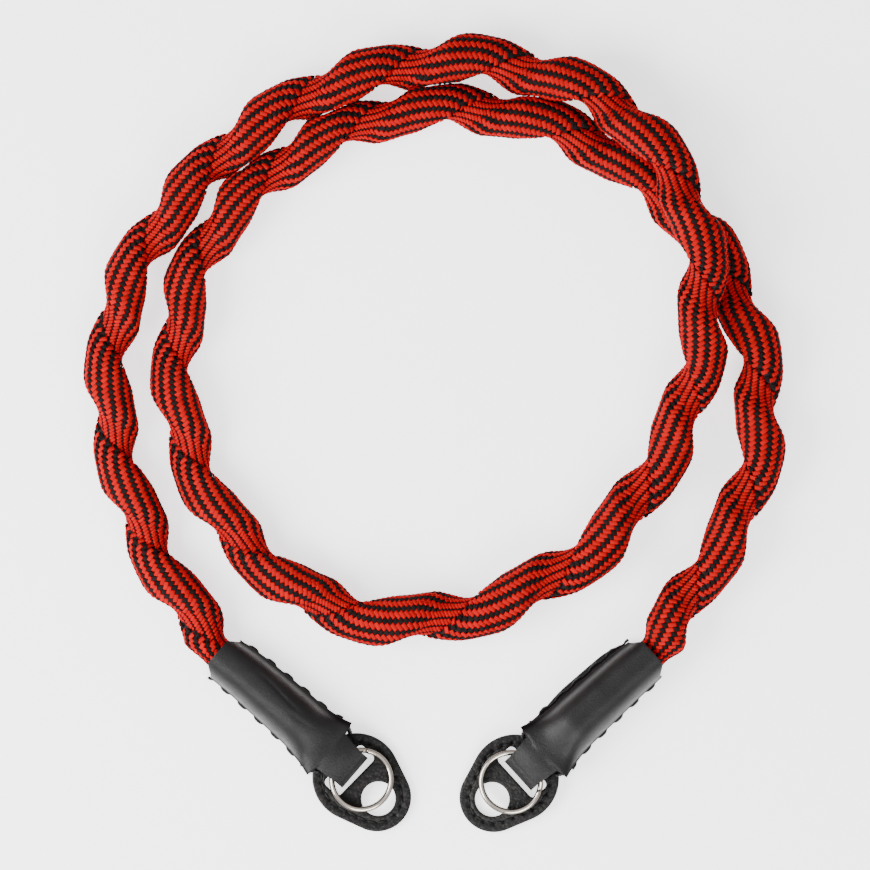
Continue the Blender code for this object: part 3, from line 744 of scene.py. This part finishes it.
# from the mouth to the shoulder: shares of the length, of the widening, of the crown's drop and of the
# edge's rise, and the exponent of the arch
SLEEVE_FRONT = np.array([
    (0.00, 0.00, 0.00, 0.00, 2.6), (0.05, 0.01, 0.00, 0.00, 2.6), (0.12, 0.05, 0.00, 0.00, 2.6),
    (0.25, 0.12, 0.00, 0.00, 2.5), (0.40, 0.19, 0.00, 0.00, 2.5), (0.55, 0.26, 0.00, 0.00, 2.4),
    (0.73, 0.32, 0.00, 0.00, 2.4), (0.80, 0.36, 0.22, 0.08, 2.3), (0.86, 0.50, 0.58, 0.40, 2.2),
    (0.93, 0.66, 0.90, 0.85, 2.0), (1.00, 1.00, 1.00, 1.00, 2.0),
])
SLEEVE_ROWS = 88  # along the front
SLEEVE_COLUMNS = 61
ROUNDING = 0.035  # share of the length over which the table's corners are rounded
TONGUE_CROWN, TONGUE_BOW = 0.55 * MM, 0.9 * MM  # rounded across, and bent down towards the fold


def table_at(along, column):
    """A column of the sleeve's table, its corners rounded."""
    shifts = np.linspace(-ROUNDING, ROUNDING, 9)
    nearby = [np.interp(along + shift, SLEEVE_FRONT[:, 0], SLEEVE_FRONT[:, column]) for shift in shifts]
    edge = min(1.0, along / ROUNDING, (1 - along) / ROUNDING)
    plain = np.interp(along, SLEEVE_FRONT[:, 0], SLEEVE_FRONT[:, column])
    return plain + (np.mean(nearby) - plain) * max(edge, 0.0)


def corner(side, along):
    """How far the rounded corners of the mouth set a point back; side runs from -1 to 1 across."""
    return MOUTH_CORNER * smooth((abs(side) - 0.55) / 0.45) * max(1 - along / 0.12, 0.0)


def front_row(end, along):
    spread, sink, lift, square = [table_at(along, column) for column in (1, 2, 3, 4)]
    half = MOUTH_HALF + (SHOULDER_WIDTH / 2 - MOUTH_HALF) * spread
    crown = MOUTH_CROWN + (TONGUE_TOP + TONGUE_BOW + TONGUE_CROWN - MOUTH_CROWN) * sink
    edge = TAB_SEAT + (TONGUE_TOP + 0.3 * TONGUE_BOW - TAB_SEAT) * lift
    shift = float(sideways(end, "front_shift", along))
    row = []
    for angle in np.linspace(-math.pi / 2, math.pi / 2, SLEEVE_COLUMNS):
        side = math.copysign(abs(math.sin(angle)) ** (2 / square), angle)
        height = max(math.cos(angle), 0.0) ** (2 / square)
        row.append((along * SLEEVE_LENGTH + corner(side, along), half * side + shift,
                    edge + (crown - edge) * height))
    return row


def flat_row(u, half, shift, z, crown=0.0):
    sides = np.linspace(-1, 1, SLEEVE_COLUMNS)
    return [(u, half * side + shift, z + crown * (1 - side ** 2)) for side in sides]


def sleeve_rows(end):
    """The strip's outer skin: the front from the mouth, round the fold, and back underneath."""
    fold = end["fold_shift"]
    rows = [front_row(end, along) for along in np.linspace(0, 1, SLEEVE_ROWS)]
    tongue, bend = SLEEVE_LENGTH + 0.7 * MM, FOLD_END - FOLD_RADIUS
    for share in np.linspace(0, 1, 9):
        half = TONGUE_WIDTH / 2 + (FOLD_HALF - TONGUE_WIDTH / 2) * share
        rows.append(flat_row(tongue + (bend - tongue) * share, half, fold * min(0.5 + share, 1.0),
                             TONGUE_TOP + TONGUE_BOW * (1 - share ** 2) * 0.6,
                             (TONGUE_CROWN + 0.4 * TONGUE_BOW) * (1 - share ** 2)))
    for middle_z, first in ((TONGUE_TOP - FOLD_RADIUS, 90), (FOLD_RADIUS, 0)):
        for degrees in range(0, 91, 10):
            angle = math.radians(first - degrees)
            if first == 90 and degrees == 0:
                continue
            rows.append(flat_row(bend + FOLD_RADIUS * math.cos(angle), FOLD_HALF, fold,
                                 middle_z + FOLD_RADIUS * math.sin(angle)))
    rows.append(flat_row((tongue + bend) / 2, (TONGUE_WIDTH / 2 + FOLD_HALF) / 2, fold, 0.0))
    rows.append(flat_row(tongue, TONGUE_WIDTH / 2, fold / 2, 0.0))
    for along in np.linspace(1, 0, 24):
        half = MOUTH_HALF + (SHOULDER_WIDTH / 2 - MOUTH_HALF) * table_at(along, 1)
        start = along * SLEEVE_LENGTH + BACK_SETBACK * max(1 - along / 0.12, 0)
        row = flat_row(start, half, float(sideways(end, "back_shift", along)), 0.0)
        rows.append([(u + corner(2 * column / (SLEEVE_COLUMNS - 1) - 1, along), v, z)
                     for column, (u, v, z) in enumerate(row)])
    return rows


print("sleeve rows:", [len(sleeve_rows(end)) for end in ENDS])

# %% Wrinkles
# side; place along in mm, and across as a share of the half width; length in mm; slant in degrees;
# depth in mm
WRINKLES = [
    ("left", 20.0, 0.40, 15.0, -3.0, 0.26), ("left", 29.0, 0.10, 6.0, 10.0, 0.12),
    ("right", 24.0, -0.35, 8.0, 5.0, 0.14), ("right", 34.0, 0.30, 4.0, -14.0, 0.12),
]
CREASE_WIDTH = 0.40 * MM
SWELL_SIZE, SWELL_DEPTH = 11.0 * MM, 0.16 * MM  # the leather isn't quite even


def dent(end, points):
    """Wrinkles and slow waves of the front, as depths under the skin."""
    depth = np.zeros(len(points))
    for side, u, across, length, slant, deep in WRINKLES:
        if side != end["side"]:
            continue
        along = points[:, 0] - u * MM
        v = points[:, 1] - across * MOUTH_HALF
        turned = math.radians(slant)
        far = along * math.cos(turned) + v * math.sin(turned)
        off = v * math.cos(turned) - along * math.sin(turned) + 0.18 * MM * np.sin(far / (2.3 * MM))
        depth += deep * MM * np.exp(-(off / CREASE_WIDTH) ** 2 - (far / (length / 2 * MM)) ** 4)
    apart = Vector((0, 0, end["heading"]))  # gives each sleeve waves of its own
    waves = [fractal(Vector(point) / SWELL_SIZE + apart, 1.0, 2.0, 2) for point in points]
    return depth - SWELL_DEPTH * np.array(waves)


print(len(WRINKLES), "wrinkles")

# %% Sleeves
EASE_PASSES = 8
EASE_FIRST, EASE_LAST = SLEEVE_ROWS - 22, SLEEVE_ROWS + 3  # rows round the shoulder that are evened out
EDGE_BREAK = 0.28 * MM

for end in ENDS:
    rows = np.array(sleeve_rows(end))
    for _ in range(EASE_PASSES):
        height = rows[:, :, 2]
        softened = (height[:-2] + 2 * height[1:-1] + height[2:]) / 4
        rows[EASE_FIRST:EASE_LAST, :, 2] = softened[EASE_FIRST - 1:EASE_LAST - 1]
    points = rows.reshape(-1, 3)
    front = np.repeat(np.arange(len(rows)) < SLEEVE_ROWS, SLEEVE_COLUMNS)
    points[:, 2] -= np.where(front & (points[:, 2] > 0.6 * TONGUE_TOP), dent(end, points), 0)
    place = end_frame(end)
    sleeve = mesh_object(end["side"] + "_sleeve_leather", [tuple(place @ Vector(p)) for p in points],
                         grid_faces(len(rows), SLEEVE_COLUMNS, False), leather)
    upper = 1 if end["side"] == "left" else -1
    side = upper * np.tile(np.linspace(-1, 1, SLEEVE_COLUMNS), len(rows))
    keep_values(sleeve, "rim", front * smooth((side - 0.84) / 0.12))
    keep_values(sleeve, "pared", front * smooth((-side - 0.93) / 0.06))
    keep_values(sleeve, "flank", front * (smooth((side - 0.50) / 0.25) + smooth((-side - 0.72) / 0.2)))
    wall = sleeve.modifiers.new("leather wall", "SOLIDIFY")
    wall.thickness = LEATHER
    wall.offset = -1.0
    edges = sleeve.modifiers.new("broken edges", "BEVEL")
    edges.width = EDGE_BREAK
    edges.segments = 2
    edges.limit_method = "ANGLE"
    edges.angle_limit = math.radians(50)
    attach(sleeve, "root")
    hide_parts(end["side"] + "_sleeve")
    print(sleeve.name, len(sleeve.data.polygons), "faces")

# %% [markdown]
# ## Waxed thread
# The seams are sewn by hand with a waxed polyester thread about 0.8 mm thick, laid from three strands.
# The wax makes it dark and slightly shiny. The strands are a slanting wave pattern: modelled one by one
# they would be little wider than a pixel.

# %% Waxed thread
STRAND_MM = 1.14  # real strands are about 0.4 mm thick, too fine for the picture

thread, tree, shader = new_material("black_waxed_thread")
shader.inputs["Base Color"].default_value = linear("#060606")
shader.inputs["Specular IOR Level"].default_value = 0.25
# a diagonal wave grows with x + y + z, and only half as fast as a straight one
strands = add_node(tree, "TexWave", {"Vector": add_node(tree, "TexCoord").outputs["Object"],
                                     "Scale": 2 * WAVE_REPEAT * 1000 / (math.sqrt(3) * STRAND_MM),
                                     "Distortion": 0.5}, bands_direction="DIAGONAL")
relief = add_node(tree, "Bump", {"Height": strands.outputs["Fac"], "Distance": 0.08 * MM, "Strength": 0.6})
tree.links.new(relief.outputs["Normal"], shader.inputs["Normal"])
shader.inputs["Roughness"].default_value = 0.55


def tube(line, radii, sides=8):
    """Points and faces of a closed tube round a line of points, with a radius at each."""
    line, radii = np.asarray(line, float), np.asarray(radii, float)
    along = np.gradient(line, axis=0)
    along /= np.linalg.norm(along, axis=1)[:, None]
    right = np.cross(along, (0, 0, 1))
    right /= np.linalg.norm(right, axis=1)[:, None]
    up = np.cross(right, along)
    angle = 2 * math.pi * np.arange(sides) / sides
    rim = right[:, None] * np.cos(angle)[None, :, None] + up[:, None] * np.sin(angle)[None, :, None]
    return (line[:, None] + rim * radii[:, None, None]).reshape(-1, 3), tube_faces(len(line), sides)


def joined(name, parts, material):
    """One mesh object from several lists of points and faces."""
    points, faces = [], []
    for some_points, some_faces in parts:
        faces += [tuple(len(points) + corner for corner in face) for face in some_faces]
        points += [tuple(point) for point in some_points]
    return mesh_object(name, points, faces, material)


print("thread nodes:", len(tree.nodes))

# %% [markdown]
# ## Sewing the sleeves
# Both long edges of a sleeve are sewn to the strip underneath, so from above the stitches show only as
# small lumps of thread beside the edge, one every 6 mm, and as a knot of turns in each notch. Separate
# stitches would leave gaps in the thread, so it is one tube that swings out at each stitch and thins
# between them.

# %% Sleeve stitches
STITCH_PITCH = 6.0 * MM
STITCH_LENGTH = 3.6 * MM
THREAD_RADIUS = 0.40 * MM
TURN_RADIUS = 0.36 * MM  # drawn tighter in the notches
SEAM_FROM, SEAM_TO, SEAM_STEP = 2.6 * MM, 37.5 * MM, 0.25 * MM  # from the mouth


def seam_thread(end, side):
    """The thread along one edge of a sleeve; side is -1 on the right and 1 on the left."""
    u = np.arange(SEAM_FROM, SEAM_TO, SEAM_STEP)
    along = u / SLEEVE_LENGTH
    half = MOUTH_HALF + (SHOULDER_WIDTH / 2 - MOUTH_HALF) * np.array([table_at(a, 1) for a in along])
    front, back = [side * sideways(end, layer, along) for layer in ("front_shift", "back_shift")]
    phase = (u / STITCH_PITCH + (0.35 if side > 0 else 0.1)) % 1.0
    lump = np.exp(-((phase - 0.5) * STITCH_PITCH / (STITCH_LENGTH * 0.42)) ** 4)
    bare = np.clip(back - front, 0, 0.8 * MM)  # the strip underneath shows here, and carries the thread
    out = half + front + bare - 0.35 * MM + 0.50 * MM * lump
    z = 1.65 * MM + 0.35 * MM * np.sin(2 * math.pi * phase) + 0.6 * bare
    z += np.maximum(along - 0.80, 0) * 12 * MM
    points = [end_frame(end) @ Vector((a, side * b, c)) for a, b, c in zip(u, out, z)]
    return tube(points, THREAD_RADIUS * (0.55 + 0.45 * lump))


def notch_turns(end, side):
    """Turns of thread round the seam in the notch beside the tongue."""
    place = end_frame(end)
    parts = []
    for k in range(3):
        u = SLEEVE_LENGTH + (0.1 + 0.65 * k) * MM
        v = side * (TONGUE_WIDTH / 2 + (1.5 - 0.35 * k) * MM)
        line = []
        for a in np.linspace(-0.9, 1.0, 9):
            out = v + side * (0.9 * math.cos(1.6 * a) - 0.5) * MM
            line.append(place @ Vector((u + 0.25 * MM * a, out, (3.4 + 1.9 * math.sin(1.5 * a)) * MM)))
        parts.append(tube(line, [TURN_RADIUS] * len(line)))
    return parts


for end in ENDS:
    parts = [part for side in (-1, 1) for part in [seam_thread(end, side)] + notch_turns(end, side)]
    stitches = joined(end["side"] + "_sleeve_stitches", parts, thread)
    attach(stitches, "root")
    print(stitches.name, len(stitches.data.polygons), "faces")

# %% [markdown]
# ## Grained tab leather
# The tabs are two layers of thin chrome-tanned leather, glued and sewn. This leather has a pebbled grain
# of about 0.7 mm, and it is less shiny than the sleeves. The middle of each pebble is painted lighter grey
# and its border near black, as a painted highlight and painted shade; in patches, random grey specks take
# their place. Voronoi cells are round like pebbles, which noise alone is not.

# %% Grained tab leather
PEBBLE_MM = 0.75
RUB_MM, SPECK_MM, FLECK_MM = 4.0, 0.5, 0.4  # rubbed patches, specks of grey in them, fine roughness

tab_leather, tree, shader = new_material("grained_black_leather")
place = add_node(tree, "TexCoord").outputs["Object"]
pebbles = add_node(tree, "TexVoronoi", {"Vector": place, "Scale": 1000 / PEBBLE_MM, "Randomness": 0.9},
                   feature="SMOOTH_F1")
patches = add_node(tree, "TexNoise", {"Vector": place, "Scale": 1000 / RUB_MM, "Detail": 5.0})
specks = add_node(tree, "TexNoise", {"Vector": place, "Scale": 1000 / SPECK_MM, "Detail": 4.0})
# painted highlight and shade: light grey in the middle of each pebble cell, near black at its border; in
# patches, grey specks instead
rubbed_specks_and_pebble_light = add_node(tree, "Mix", {"Factor": patches.outputs["Fac"], "A": pebbles.outputs["Distance"],
                                "B": specks.outputs["Fac"]}, data_type="FLOAT")
black = add_node(tree, "MapRange", {"Value": rubbed_specks_and_pebble_light.outputs["Result"], "From Min": 0.15, "From Max": 0.50})
# the grey is the painted highlight of the pebbles and the specks, and the black is painted shade between
# them
dyed = add_node(tree, "Mix", {"Factor": black.outputs["Result"], "A": linear("#2B2826"),
                              "B": linear("#070606")}, data_type="RGBA")
tree.links.new(dyed.outputs["Result"], shader.inputs["Base Color"])
shader.inputs["Roughness"].default_value = 0.48
shader.inputs["IOR"].default_value = 1.38
shader.inputs["Specular IOR Level"].default_value = 0.30
grain = add_node(tree, "Bump", {"Height": pebbles.outputs["Distance"], "Distance": 0.18 * MM,
                                "Strength": 0.8})
flecks = add_node(tree, "TexNoise", {"Vector": place, "Scale": 1000 / FLECK_MM, "Detail": 4.0})
relief = add_node(tree, "Bump", {"Height": flecks.outputs["Fac"], "Distance": 0.08 * MM, "Strength": 0.6,
                                 "Normal": grain.outputs["Normal"]})
tree.links.new(relief.outputs["Normal"], shader.inputs["Normal"])
print("tab leather nodes:", len(tree.nodes))

# %% [markdown]
# ## Cutting the tabs
# A tab is a plate with an outline of two rounds and their tangents, a slot for the tongue and a round
# eyelet hole. Booleans could cut it, but leave long thin faces that can't be pressed. So it is
# triangulated from a grid of points between those outlines: its upper face is then pressed down along
# the seam and at the needle holes, and its rim shows the two layers.

# %% Tab plate
TAB_THICKNESS = 1.8 * MM
TAB_WIDE_RADIUS, TAB_TIP_RADIUS = 11.9 * MM, 9.3 * MM
TAB_STRETCH = 7.8 * MM
TAB_HOLE_RADIUS, TAB_HOLE_AHEAD = 4.65 * MM, 0.6 * MM
SLOT_LENGTH, SLOT_CORNER = 5.8 * MM, 1.2 * MM
SLOT_HALF = TONGUE_WIDTH / 2 + 1.2 * MM
SLOT_FAR = FOLD_END + 1.2 * MM
SLOT_NEAR = SLOT_FAR - SLOT_LENGTH
TAB_WIDE = TAB_WIDE_RADIUS - 6.4 * MM  # the wide round's middle, from the slot's near side
TAB_TIP = TAB_WIDE + TAB_STRETCH
TAB_TILT = math.asin(TAB_SEAT / (TAB_TIP + TAB_TIP_RADIUS))
SEAM_INSET = 2.4 * MM
SEAM_PITCH = 2.8 * MM
RIM_ROUND = 0.30 * MM
# the rim from below to above, as inset and height in millimetres; the notch is where the layers meet
RIM_PROFILE = [(0.30, 0.0), (0.06, 0.14), (0.0, 0.5), (0.05, 0.82), (0.16, 0.90), (0.05, 0.98), (0.0, 1.3),
               (0.06, 1.66), (0.30, 1.8)]
LOOP_STEP = 0.45 * MM  # between points of an outline


def arc(u, v, radius, first, last, step=4.0):
    angles = np.radians(np.linspace(first, last, max(round(abs(last - first) / step), 1) + 1))
    return np.column_stack([u + radius * np.cos(angles), v + radius * np.sin(angles)])


def evenly(loop, step):
    """A closed loop with its points about one step apart."""
    closed = np.vstack([loop, loop[:1]])
    far = np.concatenate([[0], np.cumsum(np.linalg.norm(np.diff(closed, axis=0), axis=1))])
    at = np.linspace(0, far[-1], round(far[-1] / step) + 1)[:-1]
    return np.column_stack([np.interp(at, far, closed[:, axis]) for axis in (0, 1)])


def tab_outline(inset):
    """The outline, moved inwards: two rounds and the flanks between them."""
    flank = math.degrees(math.acos((TAB_WIDE_RADIUS - TAB_TIP_RADIUS) / TAB_STRETCH))
    tip = arc(TAB_TIP, 0, TAB_TIP_RADIUS - inset, -flank, flank)
    wide = arc(TAB_WIDE, 0, TAB_WIDE_RADIUS - inset, flank, 360 - flank)
    return evenly(np.vstack([tip, wide]), LOOP_STEP)


def tab_hole(inset):
    return evenly(arc(TAB_TIP + TAB_HOLE_AHEAD, 0, TAB_HOLE_RADIUS + inset, 360, 0)[:-1], LOOP_STEP)


def tab_slot(inset):
    near, far, half = SLOT_CORNER, SLOT_LENGTH - SLOT_CORNER, SLOT_HALF - SLOT_CORNER
    corners = ((far, half, 0), (near, half, 90), (near, -half, 180), (far, -half, 270))
    loop = [arc(u, v, SLOT_CORNER + inset, first, first + 90, 15.0) for u, v, first in corners]
    return evenly(np.vstack(loop)[::-1], LOOP_STEP)


print("points round the tab:", [len(make(0.0)) for make in (tab_outline, tab_hole, tab_slot)])

# %% Inside and beside the outlines


def inside(points, loop):
    """True for the points inside a closed loop."""
    x, y = points[:, 0][:, None], points[:, 1][:, None]
    x0, y0 = loop[:, 0][None], loop[:, 1][None]
    x1, y1 = np.roll(loop, -1, axis=0).T[:, None]
    crosses = ((y0 > y) != (y1 > y)) & (x < (x1 - x0) * (y - y0) / (y1 - y0 + 1e-15) + x0)
    return crosses.sum(axis=1) % 2 == 1


def on_plate(points, loops):
    """True for the points on the tab and in neither of its openings."""
    return inside(points, loops[0]) & ~inside(points, loops[1]) & ~inside(points, loops[2])


def distance_to(points, loop):
    return np.linalg.norm(points[:, None] - evenly(loop, 0.15 * MM)[None], axis=2).min(axis=1)


seam_line = evenly(tab_outline(SEAM_INSET), SEAM_PITCH)  # a needle hole at each point
outer_line = tab_outline(0.0)
print("tab:", len(seam_line), "stitches, tilt", round(math.degrees(TAB_TILT), 2), "degrees")

# %% The tab's faces
SEAM_GROOVE, SEAM_HALF_WIDTH = 0.20 * MM, 0.42 * MM
HOLE_DEPTH, HOLE_SPREAD = 0.55 * MM, 0.42 * MM
PEBBLE_HEIGHT = 0.05 * MM
FACE_STEP = 0.42 * MM  # between points of a face


def tab_face(points):
    """Height of the tab's upper face."""
    from_rim = distance_to(points, outer_line)
    groove = SEAM_GROOVE * np.exp(-((from_rim - SEAM_INSET) / SEAM_HALF_WIDTH) ** 2)
    from_hole = np.linalg.norm(points[:, None] - seam_line[None], axis=2).min(axis=1)
    pits = HOLE_DEPTH * np.exp(-(from_hole / HOLE_SPREAD) ** 2)
    grain = np.array([fractal(Vector((*point, 0)) / (0.9 * MM), 1.0, 2.0, 3) for point in points])
    return TAB_THICKNESS - groove - pits + PEBBLE_HEIGHT * grain * smooth(from_rim / (1.2 * MM))


def tab_plane(loops):
    """Points and triangles of a face seen from above; the outlines' points come first."""
    u = np.arange(-7 * MM, 25 * MM, FACE_STEP)
    v = np.arange(-12 * MM, 12 * MM, FACE_STEP)
    grid = np.array([(a + (FACE_STEP / 2 if k % 2 else 0.0), b) for k, b in enumerate(v) for a in u])
    keep = on_plate(grid, loops)
    for loop in loops:
        keep &= distance_to(grid, loop) > 0.25 * MM
    edges, first = [], 0
    for loop in loops:
        edges += [(first + k, first + (k + 1) % len(loop)) for k in range(len(loop))]
        first += len(loop)
    scaled = [Vector(point) for point in (np.vstack(loops + [grid[keep]]) / MM).tolist()]
    verts, _, triangles, *_ = delaunay_2d_cdt(scaled, edges, [], 1, 1e-5)
    flat = np.array([tuple(vert) for vert in verts]) * MM
    triangles = np.array(triangles)
    return flat, triangles[on_plate(flat[triangles].mean(axis=1), loops)]


def tab_mesh():
    """Points in the tab's own frame, and faces."""
    loops = [make(RIM_ROUND) for make in (tab_outline, tab_hole, tab_slot)]
    flat, triangles = tab_plane(loops)
    count = len(flat)
    on_rim = np.arange(count) < sum(len(loop) for loop in loops)
    top = np.where(on_rim, TAB_THICKNESS, tab_face(flat))
    points = np.vstack([np.column_stack([flat, np.zeros(count)]), np.column_stack([flat, top])]).tolist()
    faces = [tuple(face[::-1]) for face in triangles.tolist()]
    faces += [tuple(count + corner for corner in face) for face in triangles.tolist()]
    first = 0
    for make, loop in zip((tab_outline, tab_hole, tab_slot), loops):
        rows = [list(range(first, first + len(loop)))]
        ahead, behind = np.roll(loop, -1, axis=0), np.roll(loop, 1, axis=0)
        outward = (ahead - behind)[:, ::-1] * (1, -1)
        outward /= np.linalg.norm(outward, axis=1)[:, None]
        for inset, height in RIM_PROFILE[1:-1]:
            ring_points = loop + outward * (RIM_ROUND - inset * MM)
            rows.append(list(range(len(points), len(points) + len(loop))))
            points += [(a, b, height * MM) for a, b in ring_points.tolist()]
        rows.append(list(range(count + first, count + first + len(loop))))
        for low, high in zip(rows, rows[1:]):
            for k in range(len(loop)):
                n = (k + 1) % len(loop)
                faces.append((low[k], low[n], high[n], high[k]))
        first += len(loop)
    return points, faces


tab_points, tab_faces = tab_mesh()
print("tab:", len(tab_points), "points,", len(tab_faces), "faces")

# %% Placing and sewing the tabs
TAB_THREAD, TAB_THREAD_ENDS = 0.32 * MM, 0.20 * MM  # radius in the middle of a stitch and at its ends


def tilted_frame(end):
    """The matrix of the slope that tab and ring lie on."""
    return (end_frame(end) @ Matrix.Translation((SLOT_NEAR, 0, TAB_SEAT))
            @ Matrix.Rotation(TAB_TILT, 4, "Y"))


for end in ENDS:
    place = (tilted_frame(end) @ Matrix.Translation((0, end["ring_shift"], 0))
             @ Matrix.Rotation(math.radians(end["tab_yaw"]), 4, "Z"))
    tab = mesh_object(end["side"] + "_tab_leather", [tuple(place @ Vector(p)) for p in tab_points],
                      tab_faces, tab_leather)
    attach(tab, "root")
    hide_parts(end["side"] + "_tab")
    parts = []
    for here, there in zip(seam_line, np.roll(seam_line, -1, axis=0)):
        share = np.linspace(0.06, 0.94, 7)
        bow = np.sin(np.linspace(0, math.pi, 7))
        line = [place @ Vector((*(here + (there - here) * s), TAB_THICKNESS - 0.42 * MM + 0.34 * MM * b))
                for s, b in zip(share, bow)]
        parts.append(tube(line, TAB_THREAD_ENDS + (TAB_THREAD - TAB_THREAD_ENDS) * bow, 7))
    stitches = joined(end["side"] + "_tab_stitches", parts, thread)
    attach(stitches, "root")
    lowest = [round(v, 4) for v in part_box(end["side"] + "_tab")[0]]
    print(tab.name, len(tab.data.polygons), "faces, lowest corner of its solid", lowest)

# %% [markdown]
# ## Nickel-plated spring steel
# The rings are wound from spring steel wire and plated with nickel, which is a warmer grey than chrome.
# The wire was drawn and then polished in a barrel, so its mirror is slightly soft. Its flanks are painted
# dark brown: a painted reflection that stands for the dark edges a shiny wire shows from above. It follows
# the side of the wire, so a number kept on each point of the mesh places it better than noise.

# %% Nickel-plated spring steel
POLISH_MM, DINT_MM = 1.5, 0.6  # patches of better and worse polish, and tiny dints from the barrel

nickel, tree, shader = new_material("nickel_plated_spring_steel")
place = add_node(tree, "TexCoord").outputs["Object"]
# painted reflection: a number on each point mixes the nickel towards dark brown along the wire's flanks
painted_edge_reflection = add_node(tree, "Attribute", attribute_name="painted_edge_reflection").outputs["Fac"]
plating = add_node(tree, "Mix", {"Factor": painted_edge_reflection, "A": linear("#C4BBB1"), "B": linear("#3A2D24")},
                   data_type="RGBA")
tree.links.new(plating.outputs["Result"], shader.inputs["Base Color"])
shader.inputs["Metallic"].default_value = 1.0
patches = add_node(tree, "TexNoise", {"Vector": place, "Scale": 1000 / POLISH_MM, "Detail": 4.0})
polish = add_node(tree, "MapRange", {"Value": patches.outputs["Fac"], "From Min": 0.3, "From Max": 0.7,
                                     "To Min": 0.12, "To Max": 0.20})
tree.links.new(polish.outputs["Result"], shader.inputs["Roughness"])
dints = add_node(tree, "TexNoise", {"Vector": place, "Scale": 1000 / DINT_MM, "Detail": 2.0})
relief = add_node(tree, "Bump", {"Height": dints.outputs["Fac"], "Distance": 0.02 * MM, "Strength": 0.2})
tree.links.new(relief.outputs["Normal"], shader.inputs["Normal"])
print("nickel nodes:", len(tree.nodes))

# %% [markdown]
# ## Winding the split rings
# A split ring is a wire wound twice round and pressed flat. It steps from the lower to the upper turn in a
# short slope, and both cut ends meet there. Two plain rings would be simpler, but have no step. The wire
# is a tube round a line worked out every 3 degrees, with its ends ground off.

# %% Split rings
RING_RADIUS, RING_WIRE, RING_TURN_GAP = 8.0 * MM, 1.43 * MM, 0.15 * MM
RING_PLACE = FOLD_END + 2.2 * MM
RING_STEP_FROM, RING_STEP_TO = 122.0, 158.0  # degrees
RING_STEP = RING_STEP_TO - RING_STEP_FROM
GROUND_END = 0.35 * MM  # length of the rounding at a cut end
WIRE_SIDES = 24

turned = np.arange(RING_STEP_TO, RING_STEP_TO + 720 - RING_STEP + 0.01, 3.0)
rise = smooth((turned - 360 - RING_STEP_FROM) / RING_STEP) * (RING_WIRE + RING_TURN_GAP)
wire_line = np.column_stack([RING_RADIUS * np.cos(np.radians(turned)),
                             RING_RADIUS * np.sin(np.radians(turned)), rise])
from_end = np.minimum(turned - turned[0], turned[-1] - turned) * math.radians(1) * RING_RADIUS
wire_radii = RING_WIRE / 2 * (0.72 + 0.28 * np.sqrt(np.clip(from_end / GROUND_END, 0, 1)))
wire_points, wire_faces = tube(wire_line, wire_radii, WIRE_SIDES)
flank = np.abs(np.cos(2 * math.pi * np.arange(WIRE_SIDES) / WIRE_SIDES))
# how much painted reflection darkens each point: up to 0.8 on the wire's flanks, none on its top and bottom
wire_edge_reflection = np.tile(0.80 * smooth((flank - 0.36) / 0.36), len(wire_line))

for end in ENDS:
    place = tilted_frame(end) @ Matrix.Translation((RING_PLACE - SLOT_NEAR, end["ring_shift"],
                                                    TAB_THICKNESS + GAP + RING_WIRE / 2))
    ring = mesh_object(end["side"] + "_split_ring", [tuple(place @ Vector(p)) for p in wire_points.tolist()],
                       wire_faces, nickel)
    keep_values(ring, "painted_edge_reflection", wire_edge_reflection)
    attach(ring, "root")
    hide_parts(end["side"] + "_ring")
    print(ring.name, len(wire_faces), "faces")
